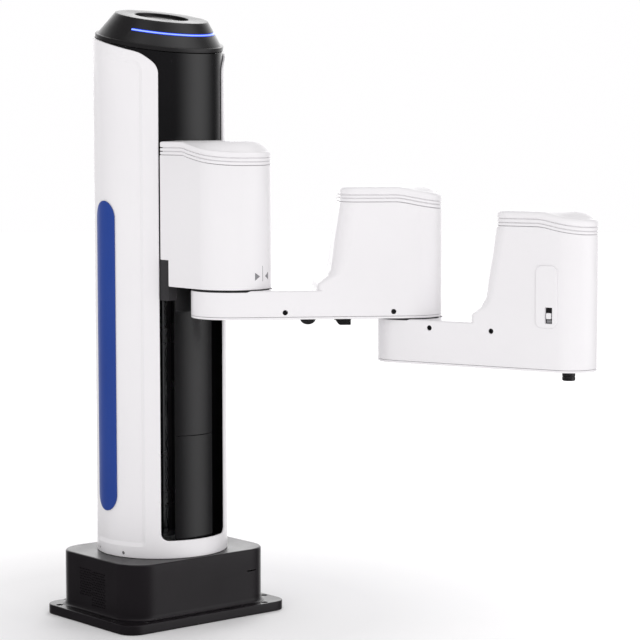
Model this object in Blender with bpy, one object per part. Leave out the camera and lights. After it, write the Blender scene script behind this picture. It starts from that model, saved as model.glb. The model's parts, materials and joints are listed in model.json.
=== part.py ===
"""Table-top scara robot arm: a column with a lift axis, two swinging arms and a turning tool spindle.

Metres, +Z up. +X is the way the lift carriage faces and +Y is its left. The origin is on the column's
axis, at the underside of the base plate.
"""

import math

import bmesh
import bpy
from mathutils import Matrix, Vector

GAP = 0.0003                        # clearance between pieces that touch
PROUD = 0.001                       # how far a cutter stands out of what it cuts

# Base
PLATE_X = (-0.081, 0.094)           # base plate, back to front
PLATE_HALF_Y = 0.115
PLATE_CORNER = 0.020
PLATE_TOP = 0.011
PLATE_EDGE = 0.0015                 # bevel round the plate
MOUNT_HOLE_RADIUS = 0.0034
BOX_X = (-0.077, 0.081)             # base housing, back to front
BOX_HALF_Y = 0.100
BOX_CORNER = 0.033
BOX_TOP = 0.0745
BOX_WALL = 0.004
BOX_EDGE = 0.0015                   # bevel round the top of the base housing
BOX_BORE = 0.030                    # opening under the column
FOOT_FLARE = 0.006                  # height and reach of the fillet at the base housing's foot
FOOT_REACH = 0.0039
VENT_PITCH = 0.0072
VENT_RADIUS = 0.0022

# Column
SHELL_RADIUS = 0.076
SHELL_WALL = 0.0024
SHELL_BOTTOM = BOX_TOP + GAP
WINDOW_HALF = 0.0459                # half width of the front window
WINDOW_BOTTOM = 0.095
WINDOW_CORNER = 0.008
WINDOW_TOP = 0.628                  # where the window's sides start to curve outwards
WINDOW_FLARE = [(-0.0740, 0.6590), (-0.0690, 0.6518), (-0.0621, 0.6486), (-0.0563, 0.6442), (-0.0494, 0.6367)]
SHELL_SPLIT = math.radians(118)     # seam between the column shell and its back cover
STRIPE_CENTRE = math.radians(92.0)
STRIPE_HALF = math.radians(15.0)
STRIPE_Z = (0.1253, 0.482)
STRIPE_PROUD = 0.0007
COVER_RADIUS = 0.0732               # upper front cover, behind the window
COVER_WALL = 0.0020
COVER_HALF = 0.0485                 # half width of the upper front cover
SLOT_TOP = 0.534
COLLAR_BOTTOM = 0.610               # the cover is a full ring above this
STRIP_RADIUS = 0.0680               # narrow cover between the carriage's two slots
STRIP_WALL = 0.0022
STRIP_HALF = 0.0270
STRIP_BOTTOM = BOX_TOP + 0.001
STRIP_TOP = 0.552
CAP_Z = 0.6613                      # height of the cap's foot on the column's axis
CAP_TILT = math.radians(10.4)       # the cap leans forward
CAP_LIP = (0.0740, 0.0052)          # radius and height of the lip
CAP_CONE_FOOT = 0.0712
CAP_TOP_RADIUS = 0.0539
CAP_HEIGHT = 0.0309
CAP_EDGE = 0.0008                   # bevel on the lip and round the top
CAP_WALL = 0.003
CAP_INSIDE = 0.0065                 # the cap's inner wall, in from the foot of its cone
CAP_RECESS = (0.0310, 0.0035)       # radius and depth of the recess in the cap
LIGHT_U = (0.0172, 0.0202)          # light ring, measured up the cap's own axis
LIGHT_HALF = math.radians(68)
LIGHT_DEPTH = 0.0022
LIGHT_SET_BACK = 0.0002

# Lift mechanism inside the column
SCREW_X = 0.004
SCREW_RADIUS = 0.005
SCREW_Z = (0.0630, 0.622)
RAIL_Y = 0.026
RAIL_Z = (0.0915, 0.645)

# Lift carriage and shoulder axis
SHOULDER_X = 0.1329
CARRIAGE_RADIUS = 0.045
CARRIAGE_WALL = 0.0025
CARRIAGE_BOTTOM = 0.387
CARRIAGE_STEP = 0.4165              # the wall is cut back below this
CARRIAGE_TOP = 0.5495
CARRIAGE_KNEE = 0.103               # the top slopes down in front of this
CARRIAGE_DROP = 0.0108
CARRIAGE_LID_DEPTH = 0.0147         # depth of the striped lid's side
CARRIAGE_CROWN = 0.0012             # how far the lid's middle stands above its rim
CARRIAGE_FLAT = 7                   # points of the lid's half outline behind the knee
CARRIAGE_REAR = 0.0617              # rear edge of the housing's walls
SLOPE_POWER = 1.5
LID_WALL = 0.0030
LID_CROWN = 0.0100                  # a lid's top is level again this far in from its rim
SHELL_CLEARANCE = 0.0010            # between the carriage's lid and the column

# Arms: radii at the near and far axes, lengths between the axes
REAR_ARM = {"length": 0.200, "near": 0.0445, "far": 0.0366, "bottom": 0.3543, "top": 0.386}
FOREARM = {"length": 0.200, "near": 0.0346, "far": 0.0300, "bottom": 0.3040, "top": 0.353}
REAR_TOWER = {"top": 0.5003, "knee": 0.1856, "drop": 0.0085, "lid": 0.0165}
FORE_TOWER = {"top": 0.4762, "knee": 0.1795, "drop": 0.0084, "lid": 0.0162}
# Each tower's back edge: height, distance from the arm's near axis, corner radius
REAR_TOWER_BACK = [
    (0.3860, 0.0930, 0.006),
    (0.3930, 0.0945, 0.006),
    (0.3996, 0.1022, 0.009),
    (0.4068, 0.1087, 0.013),
    (0.4260, 0.1122, 0.0175),
    (0.4480, 0.1150, 0.0185),
]
FORE_TOWER_BACK = [
    (0.3530, 0.0948, 0.006),
    (0.3616, 0.0960, 0.006),
    (0.3663, 0.1008, 0.0085),
    (0.3732, 0.1074, 0.012),
    (0.3875, 0.1109, 0.015),
    (0.4290, 0.1162, 0.018),
]
REAR_TOWER_LEAN = 0.1205            # back edge at the top of the tower
FORE_TOWER_LEAN = 0.1208
TOWER_TOP_CORNER = 0.019
TOWER_JOIN = 0.150                  # a tower and its arm share one outline beyond this
ARM_WALL = 0.0028
BASE_COVER = 0.0025                 # thickness of the cover under each arm
BASE_EDGE = 0.0006
SHOULDER_ANGLE = math.radians(54.74)
ELBOW_ANGLE = math.radians(-37.27)
SCREW_SPOTS_REAR = [(0.0579, 0.3620), (0.1787, 0.3620)]
SCREW_SPOTS_FORE = [(0.0458, 0.3450), (0.1216, 0.3450)]
PANEL_S = (0.1750, 0.2004)          # switch panel along the forearm
PANEL_Z = (0.3515, 0.4185)
SWITCH_S = (0.1868, 0.1948)
SWITCH_Z = (0.3565, 0.3736)
BUTTON_S = (0.1878, 0.1938)
BUTTON_Z = (0.3614, 0.3680)
PANEL_CORNER = 0.0075
PANEL_PROUD = 0.0016                # how far the switch panel stands off the arm
PANEL_BEVEL = 0.0006
SWITCH_Y = (-0.0012, 0.0060)        # front and back of the switch and of its button, from the arm's face
BUTTON_Y = (-0.0028, 0.0024)
BUTTON_WELL = 0.0046

# Bought-in parts and fittings. A profile is (radius, height) pairs; a box is its low and high corners.
MOUNT_SPOTS = [(0.0872, 0.083), (0.056, 0.1075), (-0.0765, 0.083), (-0.056, 0.1075)]
REAR_OPENING = ((-0.090, -0.062, 0.0205), (-0.0665, 0.062, 0.0615))
GRILLE_HALF = 0.0285
GRILLE_Z = (0.0165, 0.0635)
GRILLE_DEPTH = (0.0004, 0.0028)     # how far in from the housing's face
VENT_GROUPS = ((-0.0220, 0.0340, 4), (0.0065, 0.0220, 5))
VENT_COLUMNS = 3
CARD_SLOT = ((0.076, 0.0626, 0.0488), (0.090, 0.0766, 0.0502))
PANEL_DEPTH = (0.0006, 0.0026)      # the rear panel, in from the housing's back face
REAR_PANEL = ((-0.0617, 0.0208), (0.0617, 0.0612))
INLET = ((-0.0557, 0.0303), (-0.0293, 0.0497))
INLET_MOUTH = ((-0.0540, 0.0325), (-0.0310, 0.0475))
INLET_DEPTH = (0.014, 0.020)        # depth of the mouth and of the whole inlet
INLET_PINS = [(-0.0425, 0.0435), (-0.0490, 0.0375), (-0.0360, 0.0375)]
PANEL_HOLES = [((-0.0560, 0.0300), (-0.0290, 0.0500)), ((-0.0230, 0.0300), (-0.0090, 0.0500)),
               ((0.0060, 0.0320), (0.0500, 0.0480))]
IO_BLOCK = ((0.0063, 0.0323), (0.0497, 0.0477))
IO_DEPTH = (0.009, 0.014)           # depth of the wells and of the whole connector
IO_WELLS = [0.0083 + 0.0070 * step for step in range(6)]
ROCKER_PIN = (-0.071, -0.016, 0.040)
ROCKER_TILT = math.radians(-6.0)
ROCKER_HALF = 0.0060
ROCKER_SECTION = [(0.0052, -0.0060), (0.0052, 0.0060), (-0.0062, 0.0092), (-0.0050, 0.0), (-0.0062, -0.0092)]
SUPPLY = ((0.010, -0.088, 0.0150), (0.060, -0.034, 0.0560))
BOARD = ((-0.052, 0.024, 0.0160), (0.068, 0.078, 0.0178))
CHIPS = [
    ((-0.040, 0.030, 0.0170), (-0.022, 0.048, 0.0202)),
    ((-0.010, 0.026, 0.0170), (0.002, 0.038, 0.0194)),
    ((0.040, 0.030, 0.0170), (0.060, 0.044, 0.0240)),
    ((0.030, 0.056, 0.0170), (0.060, 0.070, 0.0220)),
]
FAN_CENTRE = (0.0, 0.0905, 0.040)
FAN_HALF = 0.020
FAN_HALF_DEPTH = 0.005
FAN_MOUTH = 0.0185
FAN_BLADES = 7
FAN_RADII = (0.0175, 0.0085)        # blade tip and hub
FAN_TWIST = math.radians(12)
BACKBONE_SECTION = [
    (-0.022, -0.046), (-0.014, -0.052), (0.010, -0.052), (0.010, -0.047), (-0.008, -0.047),
    (-0.008, 0.047), (0.010, 0.047), (0.010, 0.052), (-0.014, 0.052), (-0.022, 0.046),
]
BACKBONE_TOP = 0.650
RAIL_SECTION = [
    (-0.0077, -0.006), (0.0, -0.006), (0.0015, -0.0045), (0.003, -0.006), (0.005, -0.006),
    (0.005, 0.006), (0.003, 0.006), (0.0015, 0.0045), (0.0, 0.006), (-0.0077, 0.006),
]
SCREW_PROFILE = [
    (0.009, SCREW_Z[0]), (0.009, SCREW_Z[0] + 0.009), (0.0045, SCREW_Z[0] + 0.009), (0.0045, 0.0925),
    (SCREW_RADIUS, 0.0925), (SCREW_RADIUS, 0.603), (0.0035, 0.603), (0.0035, SCREW_Z[1]),
]
BEARINGS = [("screw_bearing_bottom", 0.0760, 0.0915, 0.0050), ("screw_bearing_top", 0.6050, 0.6170, 0.0040)]
Z_MOTOR_HALF = 0.021
Z_MOTOR_FOOT = 0.012
Z_MOTOR_TOP = 0.058
Z_MOTOR_SHAFT = [(0.011, 0.0580), (0.011, 0.0600), (0.0025, 0.0600), (0.0025, 0.0625)]
FRAME_X = (0.0165, 0.0245, 0.0768)  # the slide plate's back and front, and the cheeks' front
CHEEK_Y = (0.0335, 0.0421)
FRAME_Z = (0.3712, 0.528)
CHEEK_PAD = ((0.0500, 0.0345, 0.3710), (0.0767, 0.0445, CARRIAGE_STEP - 0.0006))
FLOOR_Z = (0.3880, 0.3960)
FLOOR_REAR = 0.0740
SHOULDER_OPENING = 0.0265
BALL_NUT = [
    (0.0056, 0.440), (0.0056, 0.480), (0.0100, 0.480), (0.0115, 0.4785), (0.0115, 0.4415), (0.0100, 0.440),
]
RAIL_BLOCK_SECTION = [
    (-0.0035, -0.0135), (0.0162, -0.0135), (0.0162, 0.0135), (-0.0035, 0.0135),
    (-0.0035, 0.0065), (0.0056, 0.0065), (0.0056, -0.0065), (-0.0035, -0.0065),
]
RAIL_BLOCK_Z = (0.4000, 0.5200)
SHOULDER_REDUCER = [
    (0.022, 0.3964), (0.0355, 0.3964), (0.0355, 0.4060), (0.0335, 0.4060), (0.0335, 0.4260), (0.0280, 0.4280),
]
SHOULDER_MOTOR = [(0.0300, 0.4284), (0.0300, 0.4860), (0.0280, 0.4880), (0.0280, 0.5020), (0.0240, 0.5060)]
SHOULDER_SEAL = [(0.0275, 0.3863), (0.0413, 0.3863), (0.0421, 0.3868), (0.0421, 0.3876), (0.0275, 0.3876)]
ELBOW_REDUCER = [
    (0.020, 0.3576), (0.0315, 0.3576), (0.0315, 0.3700), (0.0295, 0.3700), (0.0295, 0.3900), (0.0240, 0.3920),
]
ELBOW_MOTOR = [(0.0270, 0.3924), (0.0270, 0.4520), (0.0250, 0.4540), (0.0250, 0.4660), (0.0210, 0.4700)]
BUMPER_SPOT = (0.0853, -0.012)
BUMPER = [
    (0.0087, 0.3540), (0.0086, 0.3528), (0.0080, 0.3505), (0.0066, 0.3480), (0.0046, 0.3466),
    (0.0022, 0.3460),
]
PLUG_Y = (-0.021, -0.004)
PLUG_SECTION = [
    (0.1145, 0.3540), (0.1147, 0.3520), (0.1183, 0.3468), (0.1200, 0.3460), (0.1326, 0.3460),
    (0.1326, 0.3540),
]
WRIST_MOTOR = [
    (0.0190, 0.3610), (0.0205, 0.3625), (0.0205, 0.4160), (0.0190, 0.4175), (0.0190, 0.4300),
    (0.0160, 0.4330),
]
SPINDLE_BEARING = [
    (0.0078, 0.3072), (0.0160, 0.3072), (0.0170, 0.3082), (0.0170, 0.3180), (0.0160, 0.3190),
    (0.0078, 0.3190),
]
SPINDLE = [
    (0.0050, 0.2930), (0.0072, 0.2936), (0.0072, 0.3020), (0.0070, 0.3026), (0.0070, 0.3036),
    (0.0072, 0.3042), (0.0072, 0.3300), (0.0110, 0.3310), (0.0110, 0.3370), (0.0050, 0.3380),
    (0.0050, 0.3600),
]
ARM_SCREW = [
    (0.0017, -0.0050), (0.0017, GAP), (0.0029, GAP), (0.0029, 0.0012), (0.0014, 0.0014), (0.0013, 0.0006),
]
SCREW_HOLE_RADIUS = 0.0022
REAR_HUB = (0.024, 0.3845, 0.3960)  # radius, bottom and top of the boss on each arm's near axis
FORE_HUB = (0.024, 0.3515, 0.3573)
REAR_BASE_OPENING = 0.0260
FORE_BASE_OPENING = 0.0090

ARC_STEPS = 10                      # points in a half circle of an arm's outline
ROUND_STEPS = 24                    # points round a small turned piece


def clear_scene():
    for item in list(bpy.data.objects):
        bpy.data.objects.remove(item, do_unlink=True)


def make_material(name, colour, roughness, metallic=0.0, glow=0.0):
    material = bpy.data.materials.new(name)
    material.use_nodes = True
    shader = material.node_tree.nodes["Principled BSDF"]
    shader.inputs["Base Color"].default_value = (*colour, 1.0)
    shader.inputs["Roughness"].default_value = roughness
    shader.inputs["Metallic"].default_value = metallic
    if glow:
        shader.inputs["Emission Color"].default_value = (*colour, 1.0)
        shader.inputs["Emission Strength"].default_value = glow
    return material


def make_object(name, points, faces, material, parent=None, helper=False):
    """A mesh object from points and faces, with doubled points merged and faces turned outwards."""
    shape = bmesh.new()
    corners = [shape.verts.new(point) for point in points]
    for face in faces:
        if len(set(face)) > 2:
            shape.faces.new([corners[index] for index in face])
    bmesh.ops.remove_doubles(shape, verts=shape.verts, dist=1e-6)
    bmesh.ops.recalc_face_normals(shape, faces=shape.faces)
    mesh = bpy.data.meshes.new(name)
    shape.to_mesh(mesh)
    shape.free()
    mesh.shade_smooth()
    mesh.set_sharp_from_angle(angle=math.radians(30))
    item = bpy.data.objects.new(name, mesh)
    bpy.context.scene.collection.objects.link(item)
    if helper:
        item.hide_render = True
        item.display_type = "WIRE"
    else:
        item.data.materials.append(material)
    item.parent = parent
    return item


def make_pivot(name, parent, location, angle):
    """An empty on a joint's axis."""
    pivot = bpy.data.objects.new(name, None)
    bpy.context.scene.collection.objects.link(pivot)
    pivot.parent = parent
    pivot.location = location
    pivot.rotation_euler = (0.0, 0.0, angle)
    return pivot


def cap_faces(ring, flat_until):
    """Faces that close a symmetric ring: one flat face up to a point, then a ladder to the front."""
    count = len(ring)
    half = count // 2
    if flat_until >= half:
        return [list(ring)]
    flat = [ring[index % count] for index in range(-flat_until, flat_until + 1)]
    faces = [flat] if len(flat) > 2 else []
    for index in range(max(flat_until, 0), half):
        rung = [index, index + 1, (count - index - 1) % count, (count - index) % count]
        faces.append(list(dict.fromkeys(ring[corner] for corner in rung)))
    return faces


def loft(rings, closed=False, flat_start=10**6, flat_end=10**6):
    """Points and faces of a skin through rings of equal length. A closed skin joins last to first."""
    count = len(rings[0])
    points = [point for ring in rings for point in ring]
    faces = []
    pairs = len(rings) if closed else len(rings) - 1
    for level in range(pairs):
        low = level * count
        high = ((level + 1) % len(rings)) * count
        for index in range(count):
            after = (index + 1) % count
            faces.append([low + index, low + after, high + after, high + index])
    if not closed:
        faces += cap_faces(list(range(count)), flat_start)
        faces += cap_faces(list(range(len(points) - count, len(points))), flat_end)
    return points, faces


def circle(radius, z, centre=(0.0, 0.0), steps=ROUND_STEPS):
    turns = [2 * math.pi * step / steps for step in range(steps)]
    return [(centre[0] + radius * math.cos(t), centre[1] + radius * math.sin(t), z) for t in turns]


def turned(name, profile, material, centre=(0.0, 0.0), parent=None, closed=False, steps=ROUND_STEPS):
    """A turned piece from (radius, height) pairs, capped at both ends unless its profile is closed."""
    rings = [circle(radius, z, centre, steps) for radius, z in profile]
    points, faces = loft(rings, closed)
    return make_object(name, points, faces, material, parent)


def prism(name, outline, z_low, z_high, material, parent=None, helper=False):
    rings = [[(x, y, z) for x, y in outline] for z in (z_low, z_high)]
    points, faces = loft(rings)
    return make_object(name, points, faces, material, parent, helper)


def block(name, low, high, material, parent=None, helper=False, bevel=0.0):
    outline = [(low[0], low[1]), (high[0], low[1]), (high[0], high[1]), (low[0], high[1])]
    item = prism(name, outline, low[2], high[2], material, parent, helper)
    if bevel:
        edge = item.modifiers.new("edge", "BEVEL")
        edge.width = bevel
        edge.segments = 1
    return item


def blocks(boxes):
    """Points and faces of several separate boxes."""
    points = []
    faces = []
    sides = [(0, 1, 3, 2), (4, 6, 7, 5), (0, 4, 5, 1), (2, 3, 7, 6), (0, 2, 6, 4), (1, 5, 7, 3)]
    for low, high in boxes:
        first = len(points)
        for x in (low[0], high[0]):
            points += [(x, y, z) for y in (low[1], high[1]) for z in (low[2], high[2])]
        faces += [[first + corner for corner in side] for side in sides]
    return points, faces


def drill_points(spots, radius, direction, start, end, steps=12):
    """Points and faces of several separate round drills along a direction, each about its own spot."""
    direction = Vector(direction).normalized()
    across = direction.orthogonal().normalized()
    other = direction.cross(across)
    points = []
    faces = []
    for spot in spots:
        first = len(points)
        for distance in (start, end):
            for step in range(steps):
                turn = 2 * math.pi * step / steps
                offset = across * radius * math.cos(turn) + other * radius * math.sin(turn)
                points.append(tuple(Vector(spot) + direction * distance + offset))
        for step in range(steps):
            after = (step + 1) % steps
            faces.append([first + step, first + after, first + steps + after, first + steps + step])
        faces.append([first + step for step in range(steps)])
        faces.append([first + steps + step for step in range(steps)])
    return points, faces


def side_prism(section, low, high):
    """Points and faces of a bar along Y with a section of (x, z) points."""
    points = [(x, y, z) for y in (low, high) for x, z in section]
    count = len(section)
    faces = [list(range(count)), list(range(count, 2 * count))]
    faces += [[i, (i + 1) % count, count + (i + 1) % count, count + i] for i in range(count)]
    return points, faces


def sweep_faces(count):
    """Faces of a bar whose points come in groups of four, one group for each section along it."""
    faces = [[0, 1, 2, 3], [count - 4, count - 3, count - 2, count - 1]]
    for first in range(0, count - 4, 4):
        for corner in range(4):
            after = (corner + 1) % 4
            faces.append([first + corner, first + after, first + 4 + after, first + 4 + corner])
    return faces


def combine(item, other, operation):
    """A Boolean of an object with a helper."""
    change = item.modifiers.new(operation.lower(), "BOOLEAN")
    change.operation = operation
    change.solver = "EXACT"
    change.object = other


def cut(item, name, shape):
    combine(item, make_object(name, *shape, None, item.parent, helper=True), "DIFFERENCE")


def join(item, name, shape):
    combine(item, make_object(name, *shape, None, item.parent, helper=True), "UNION")


def rounded_rectangle(x_low, x_high, half_y, radius, steps=6):
    """Outline of a rounded rectangle, the same number of points in each corner."""
    outline = []
    corners = [(x_high, half_y, 0), (x_low, half_y, 1), (x_low, -half_y, 2), (x_high, -half_y, 3)]
    for x, y, quarter in corners:
        centre_x = x - math.copysign(radius, 1 if x == x_high else -1)
        centre_y = y - math.copysign(radius, y)
        for step in range(steps + 1):
            turn = math.pi / 2 * (quarter + step / steps)
            outline.append((centre_x + radius * math.cos(turn), centre_y + radius * math.sin(turn)))
    return outline


def at_height(outline, z):
    return [(x, y, z) for x, y in outline]


def on_circle(outline, radius, z, centre=(0.0, 0.0)):
    """A ring on a circle with as many points as a rounded rectangle's outline, evenly spread."""
    count = len(outline)
    turns = [2 * math.pi * (index + 0.5) / count for index in range(count)]
    return [(centre[0] + radius * math.cos(t), centre[1] + radius * math.sin(t), z) for t in turns]


def band(name, outer, inner, z_low, z_high, material, parent=None):
    """A wall between two open lines in plan. z_low and z_high give the heights at a distance along X."""
    points = []
    for (ox, oy), (ix, iy) in zip(outer, inner):
        points += [(ox, oy, z_low(ox)), (ox, oy, z_high(ox)), (ix, iy, z_high(ix)), (ix, iy, z_low(ix))]
    return make_object(name, points, sweep_faces(len(points)), material, parent)


def arc(radius, start, end, steps):
    turns = [start + (end - start) * step / steps for step in range(steps + 1)]
    return [(radius * math.cos(t), radius * math.sin(t)) for t in turns]


def slope(value, start, end, drop, power=SLOPE_POWER):
    """How far a top has come down at a distance along it: flat, then a knee, then levelling out."""
    part = min(max((value - start) / (end - start), 0.0), 1.0)
    return drop * (1 - (1 - part) ** power)


def column_top(x):
    """Height of the slanted plane that the cap stands on."""
    return CAP_Z - x * math.tan(CAP_TILT)


# Base ---------------------------------------------------------------------------------------------


def make_base_plate(dark):
    outline = rounded_rectangle(*PLATE_X, PLATE_HALF_Y, PLATE_CORNER)
    x_low, x_high = PLATE_X[0] + PLATE_EDGE, PLATE_X[1] - PLATE_EDGE
    inset = rounded_rectangle(x_low, x_high, PLATE_HALF_Y - PLATE_EDGE, PLATE_CORNER - PLATE_EDGE)
    rings = [at_height(outline, 0.0), at_height(outline, PLATE_TOP - PLATE_EDGE), at_height(inset, PLATE_TOP)]
    plate = make_object("base_plate", *loft(rings), dark)
    spots = [(x, side * y, 0.0) for side in (-1, 1) for x, y in MOUNT_SPOTS]
    drills = drill_points(spots, MOUNT_HOLE_RADIUS, (0, 0, 1), -PROUD, PLATE_TOP + PROUD, 8)
    cut(plate, "mounting_holes", drills)


def make_base_housing(dark):
    foot = PLATE_TOP + GAP

    def outline(inset):
        return rounded_rectangle(BOX_X[0] + inset, BOX_X[1] - inset, BOX_HALF_Y - inset, BOX_CORNER - inset)

    rings = []
    for step in range(5):
        turn = math.pi / 2 * step / 4
        out = FOOT_REACH * (1 - math.sin(turn))
        rings.append(at_height(outline(-out), foot + FOOT_FLARE * (1 - math.cos(turn))))
    rings.append(at_height(outline(0.0), BOX_TOP - BOX_EDGE))
    rings.append(at_height(outline(BOX_EDGE), BOX_TOP))
    rings.append(on_circle(outline(0.0), BOX_BORE, BOX_TOP))
    rings.append(on_circle(outline(0.0), BOX_BORE, BOX_TOP - BOX_WALL))
    rings.append(at_height(outline(BOX_WALL), BOX_TOP - BOX_WALL))
    rings.append(at_height(outline(BOX_WALL), foot))
    housing = make_object("base_housing", *loft(rings, closed=True), dark)
    openings = [REAR_OPENING, CARD_SLOT]
    for y_low, y_high in ((-0.110, -0.092), (0.092, 0.110)):
        openings.append(((-GRILLE_HALF, y_low, GRILLE_Z[0]), (GRILLE_HALF, y_high, GRILLE_Z[1])))
    cut(housing, "housing_openings", blocks(openings))


def make_vent_grille(side, dark):
    """A perforated plate that fills the opening in one side of the base housing."""
    name = "vent_grille_right" if side < 0 else "vent_grille_left"
    y_low, y_high = sorted(side * (BOX_HALF_Y - depth) for depth in GRILLE_DEPTH)
    low = (-GRILLE_HALF + GAP, y_low, GRILLE_Z[0] + GAP)
    high = (GRILLE_HALF - GAP, y_high, GRILLE_Z[1] - GAP)
    plate = block(name, low, high, dark)
    spots = []
    for x_start, z_start, rows in VENT_GROUPS:
        for row in range(rows):
            for column in range(VENT_COLUMNS):
                spots.append((x_start + VENT_PITCH * column, 0.0, z_start + VENT_PITCH * row))
    cut(plate, name + "_holes", drill_points(spots, VENT_RADIUS, (0, 1, 0), y_low - PROUD, y_high + PROUD, 5))


def make_rear_connectors(black, metal, board_green):
    """The panel in the back of the base, its power inlet and its row of sockets."""
    x_face = BOX_X[0]

    def through(low, high, x_low, x_high):
        return (x_face + x_low, *low), (x_face + x_high, *high)

    panel = block("rear_panel", *through(*REAR_PANEL, *PANEL_DEPTH), metal)
    cut(panel, "panel_openings", blocks([through(*hole, -0.010, 0.010) for hole in PANEL_HOLES]))
    stand_out = -2 * GAP
    inlet = block("power_inlet", *through(*INLET, stand_out, INLET_DEPTH[1]), black)
    cut(inlet, "inlet_recess", blocks([through(*INLET_MOUTH, -2 * PROUD, INLET_DEPTH[0])]))
    pins = [through((y - 0.001, z - 0.002), (y + 0.001, z + 0.002), 0.003, INLET_DEPTH[0] + 0.0005)
            for y, z in INLET_PINS]
    join(inlet, "inlet_pins", blocks(pins))
    socket = block("io_connector", *through(*IO_BLOCK, stand_out, IO_DEPTH[1]), board_green)
    wells = [through((y, 0.0345), (y + 0.0048, 0.0455), -2 * PROUD, IO_DEPTH[0]) for y in IO_WELLS]
    cut(socket, "connector_wells", blocks(wells))


def make_power_rocker(black):
    """The mains rocker, tilted to its off side about a pin along Y."""
    pivot = make_pivot("rocker_pivot", None, ROCKER_PIN, 0.0)
    make_object("power_rocker", *side_prism(ROCKER_SECTION, -ROCKER_HALF, ROCKER_HALF), black, pivot)
    pivot.rotation_euler = (0.0, ROCKER_TILT, 0.0)


def make_base_electronics(metal, board_green):
    block("power_supply", *SUPPLY, metal, bevel=0.0015)
    board = block("controller_board", *BOARD, board_green)
    join(board, "board_chips", blocks(CHIPS))


def make_cooling_fan(black):
    """A frame behind the left grille, and its rotor on an axis along Y."""
    pivot = make_pivot("fan_pivot", None, FAN_CENTRE, 0.0)
    pivot.rotation_euler = (math.pi / 2, 0.0, 0.0)
    square = rounded_rectangle(-FAN_HALF, FAN_HALF, FAN_HALF, 0.003, steps=4)
    rings = [at_height(square, -FAN_HALF_DEPTH), at_height(square, FAN_HALF_DEPTH),
             on_circle(square, FAN_MOUTH, FAN_HALF_DEPTH), on_circle(square, FAN_MOUTH, -FAN_HALF_DEPTH)]
    make_object("fan_frame", *loft(rings, closed=True), black, pivot)
    tip, hub = FAN_RADII
    steps_per_blade = 4
    count = FAN_BLADES * steps_per_blade
    outline = []
    for step in range(count):
        turn = 2 * math.pi * step / count
        radius = tip if step % steps_per_blade in (0, 1) else hub
        outline.append((radius * math.cos(turn), radius * math.sin(turn)))
    rings = []
    for level in range(4):
        turn = Matrix.Rotation(FAN_TWIST * level, 2)
        rings.append([(*(turn @ Vector(point)), -0.0035 + 0.0023 * level) for point in outline])
    make_object("fan_rotor", *loft(rings), black, pivot)


# Column -------------------------------------------------------------------------------------------


def make_column_shell(white):
    edge = SHELL_SPLIT - 0.002
    inner = SHELL_RADIUS - SHELL_WALL
    steps = 56
    bottom = lambda x: SHELL_BOTTOM
    top = lambda x: column_top(x) - GAP
    wall = arc(SHELL_RADIUS, -edge, edge, steps), arc(inner, -edge, edge, steps)
    shell = band("column_shell", *wall, bottom, top, white)
    left = WINDOW_FLARE + [(-WINDOW_HALF, WINDOW_TOP)]
    for step in range(7):
        turn = math.pi * (1 + step / 12)
        y = -WINDOW_HALF + WINDOW_CORNER * (1 + math.cos(turn))
        left.append((y, WINDOW_BOTTOM + WINDOW_CORNER * (1 + math.sin(turn))))
    rim = WINDOW_FLARE[0][0]
    outline = [(rim, 0.700)] + left + [(-y, z) for y, z in reversed(left)] + [(-rim, 0.700)]
    points = [(x, y, z) for x in (0.010, 0.100) for y, z in outline]
    count = len(outline)
    faces = [list(range(count)), list(range(count, 2 * count))]
    faces += [[i, (i + 1) % count, count + (i + 1) % count, count + i] for i in range(count)]
    cut(shell, "shell_window", (points, faces))
    start = SHELL_SPLIT + 0.002
    end = 2 * math.pi - start
    band("column_back", arc(SHELL_RADIUS, start, end, 36), arc(inner, start, end, 36), bottom, top, white)


def make_side_stripe(side, blue):
    """A curved strip with round ends on one side of the column."""
    name = "side_stripe_right" if side < 0 else "side_stripe_left"
    half_width = SHELL_RADIUS * STRIPE_HALF
    steps = 16
    outer = []
    inner = []
    reach = []
    for step in range(steps + 1):
        across = -math.cos(math.pi * step / steps)
        turn = side * STRIPE_CENTRE + across * STRIPE_HALF
        for points, radius in ((outer, SHELL_RADIUS + STRIPE_PROUD), (inner, SHELL_RADIUS + GAP)):
            points.append((radius * math.cos(turn), radius * math.sin(turn)))
        reach.append(half_width * math.sqrt(max(1 - across * across, 0.0)) + 0.0004)
    points = []
    for out, into, rise in zip(outer, inner, reach):
        low = STRIPE_Z[0] + half_width - rise
        high = STRIPE_Z[1] - half_width + rise
        points += [(*out, low), (*out, high), (*into, high), (*into, low)]
    make_object(name, points, sweep_faces(len(points)), blue)


def make_front_covers(gloss_black):
    """A full ring under the cap that reaches down to the slots, and a set-back strip between the slots."""
    edge = math.asin(COVER_HALF / COVER_RADIUS)
    even = [2 * math.pi * step / 64 for step in range(64)]
    turns = [t for t in even if abs(abs(math.remainder(t, 2 * math.pi)) - edge) > math.radians(3)]
    for step in (edge, edge + 0.003):
        turns += [step, 2 * math.pi - step]
    turns.sort()

    def low(turn):
        return SLOT_TOP if abs(math.remainder(turn, 2 * math.pi)) <= edge + 0.001 else COLLAR_BOTTOM

    def ring(radius, at_top):
        places = [(radius * math.cos(t), radius * math.sin(t), t) for t in turns]
        return [(x, y, column_top(x) - GAP if at_top else low(t)) for x, y, t in places]

    inner = COVER_RADIUS - COVER_WALL
    rings = [ring(COVER_RADIUS, False), ring(COVER_RADIUS, True), ring(inner, True), ring(inner, False)]
    make_object("front_cover", *loft(rings, closed=True), gloss_black)
    half = math.asin(STRIP_HALF / STRIP_RADIUS)
    wall = arc(STRIP_RADIUS, -half, half, 16), arc(STRIP_RADIUS - STRIP_WALL, -half, half, 16)
    band("slot_strip", *wall, lambda x: STRIP_BOTTOM, lambda x: STRIP_TOP, gloss_black)


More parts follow.
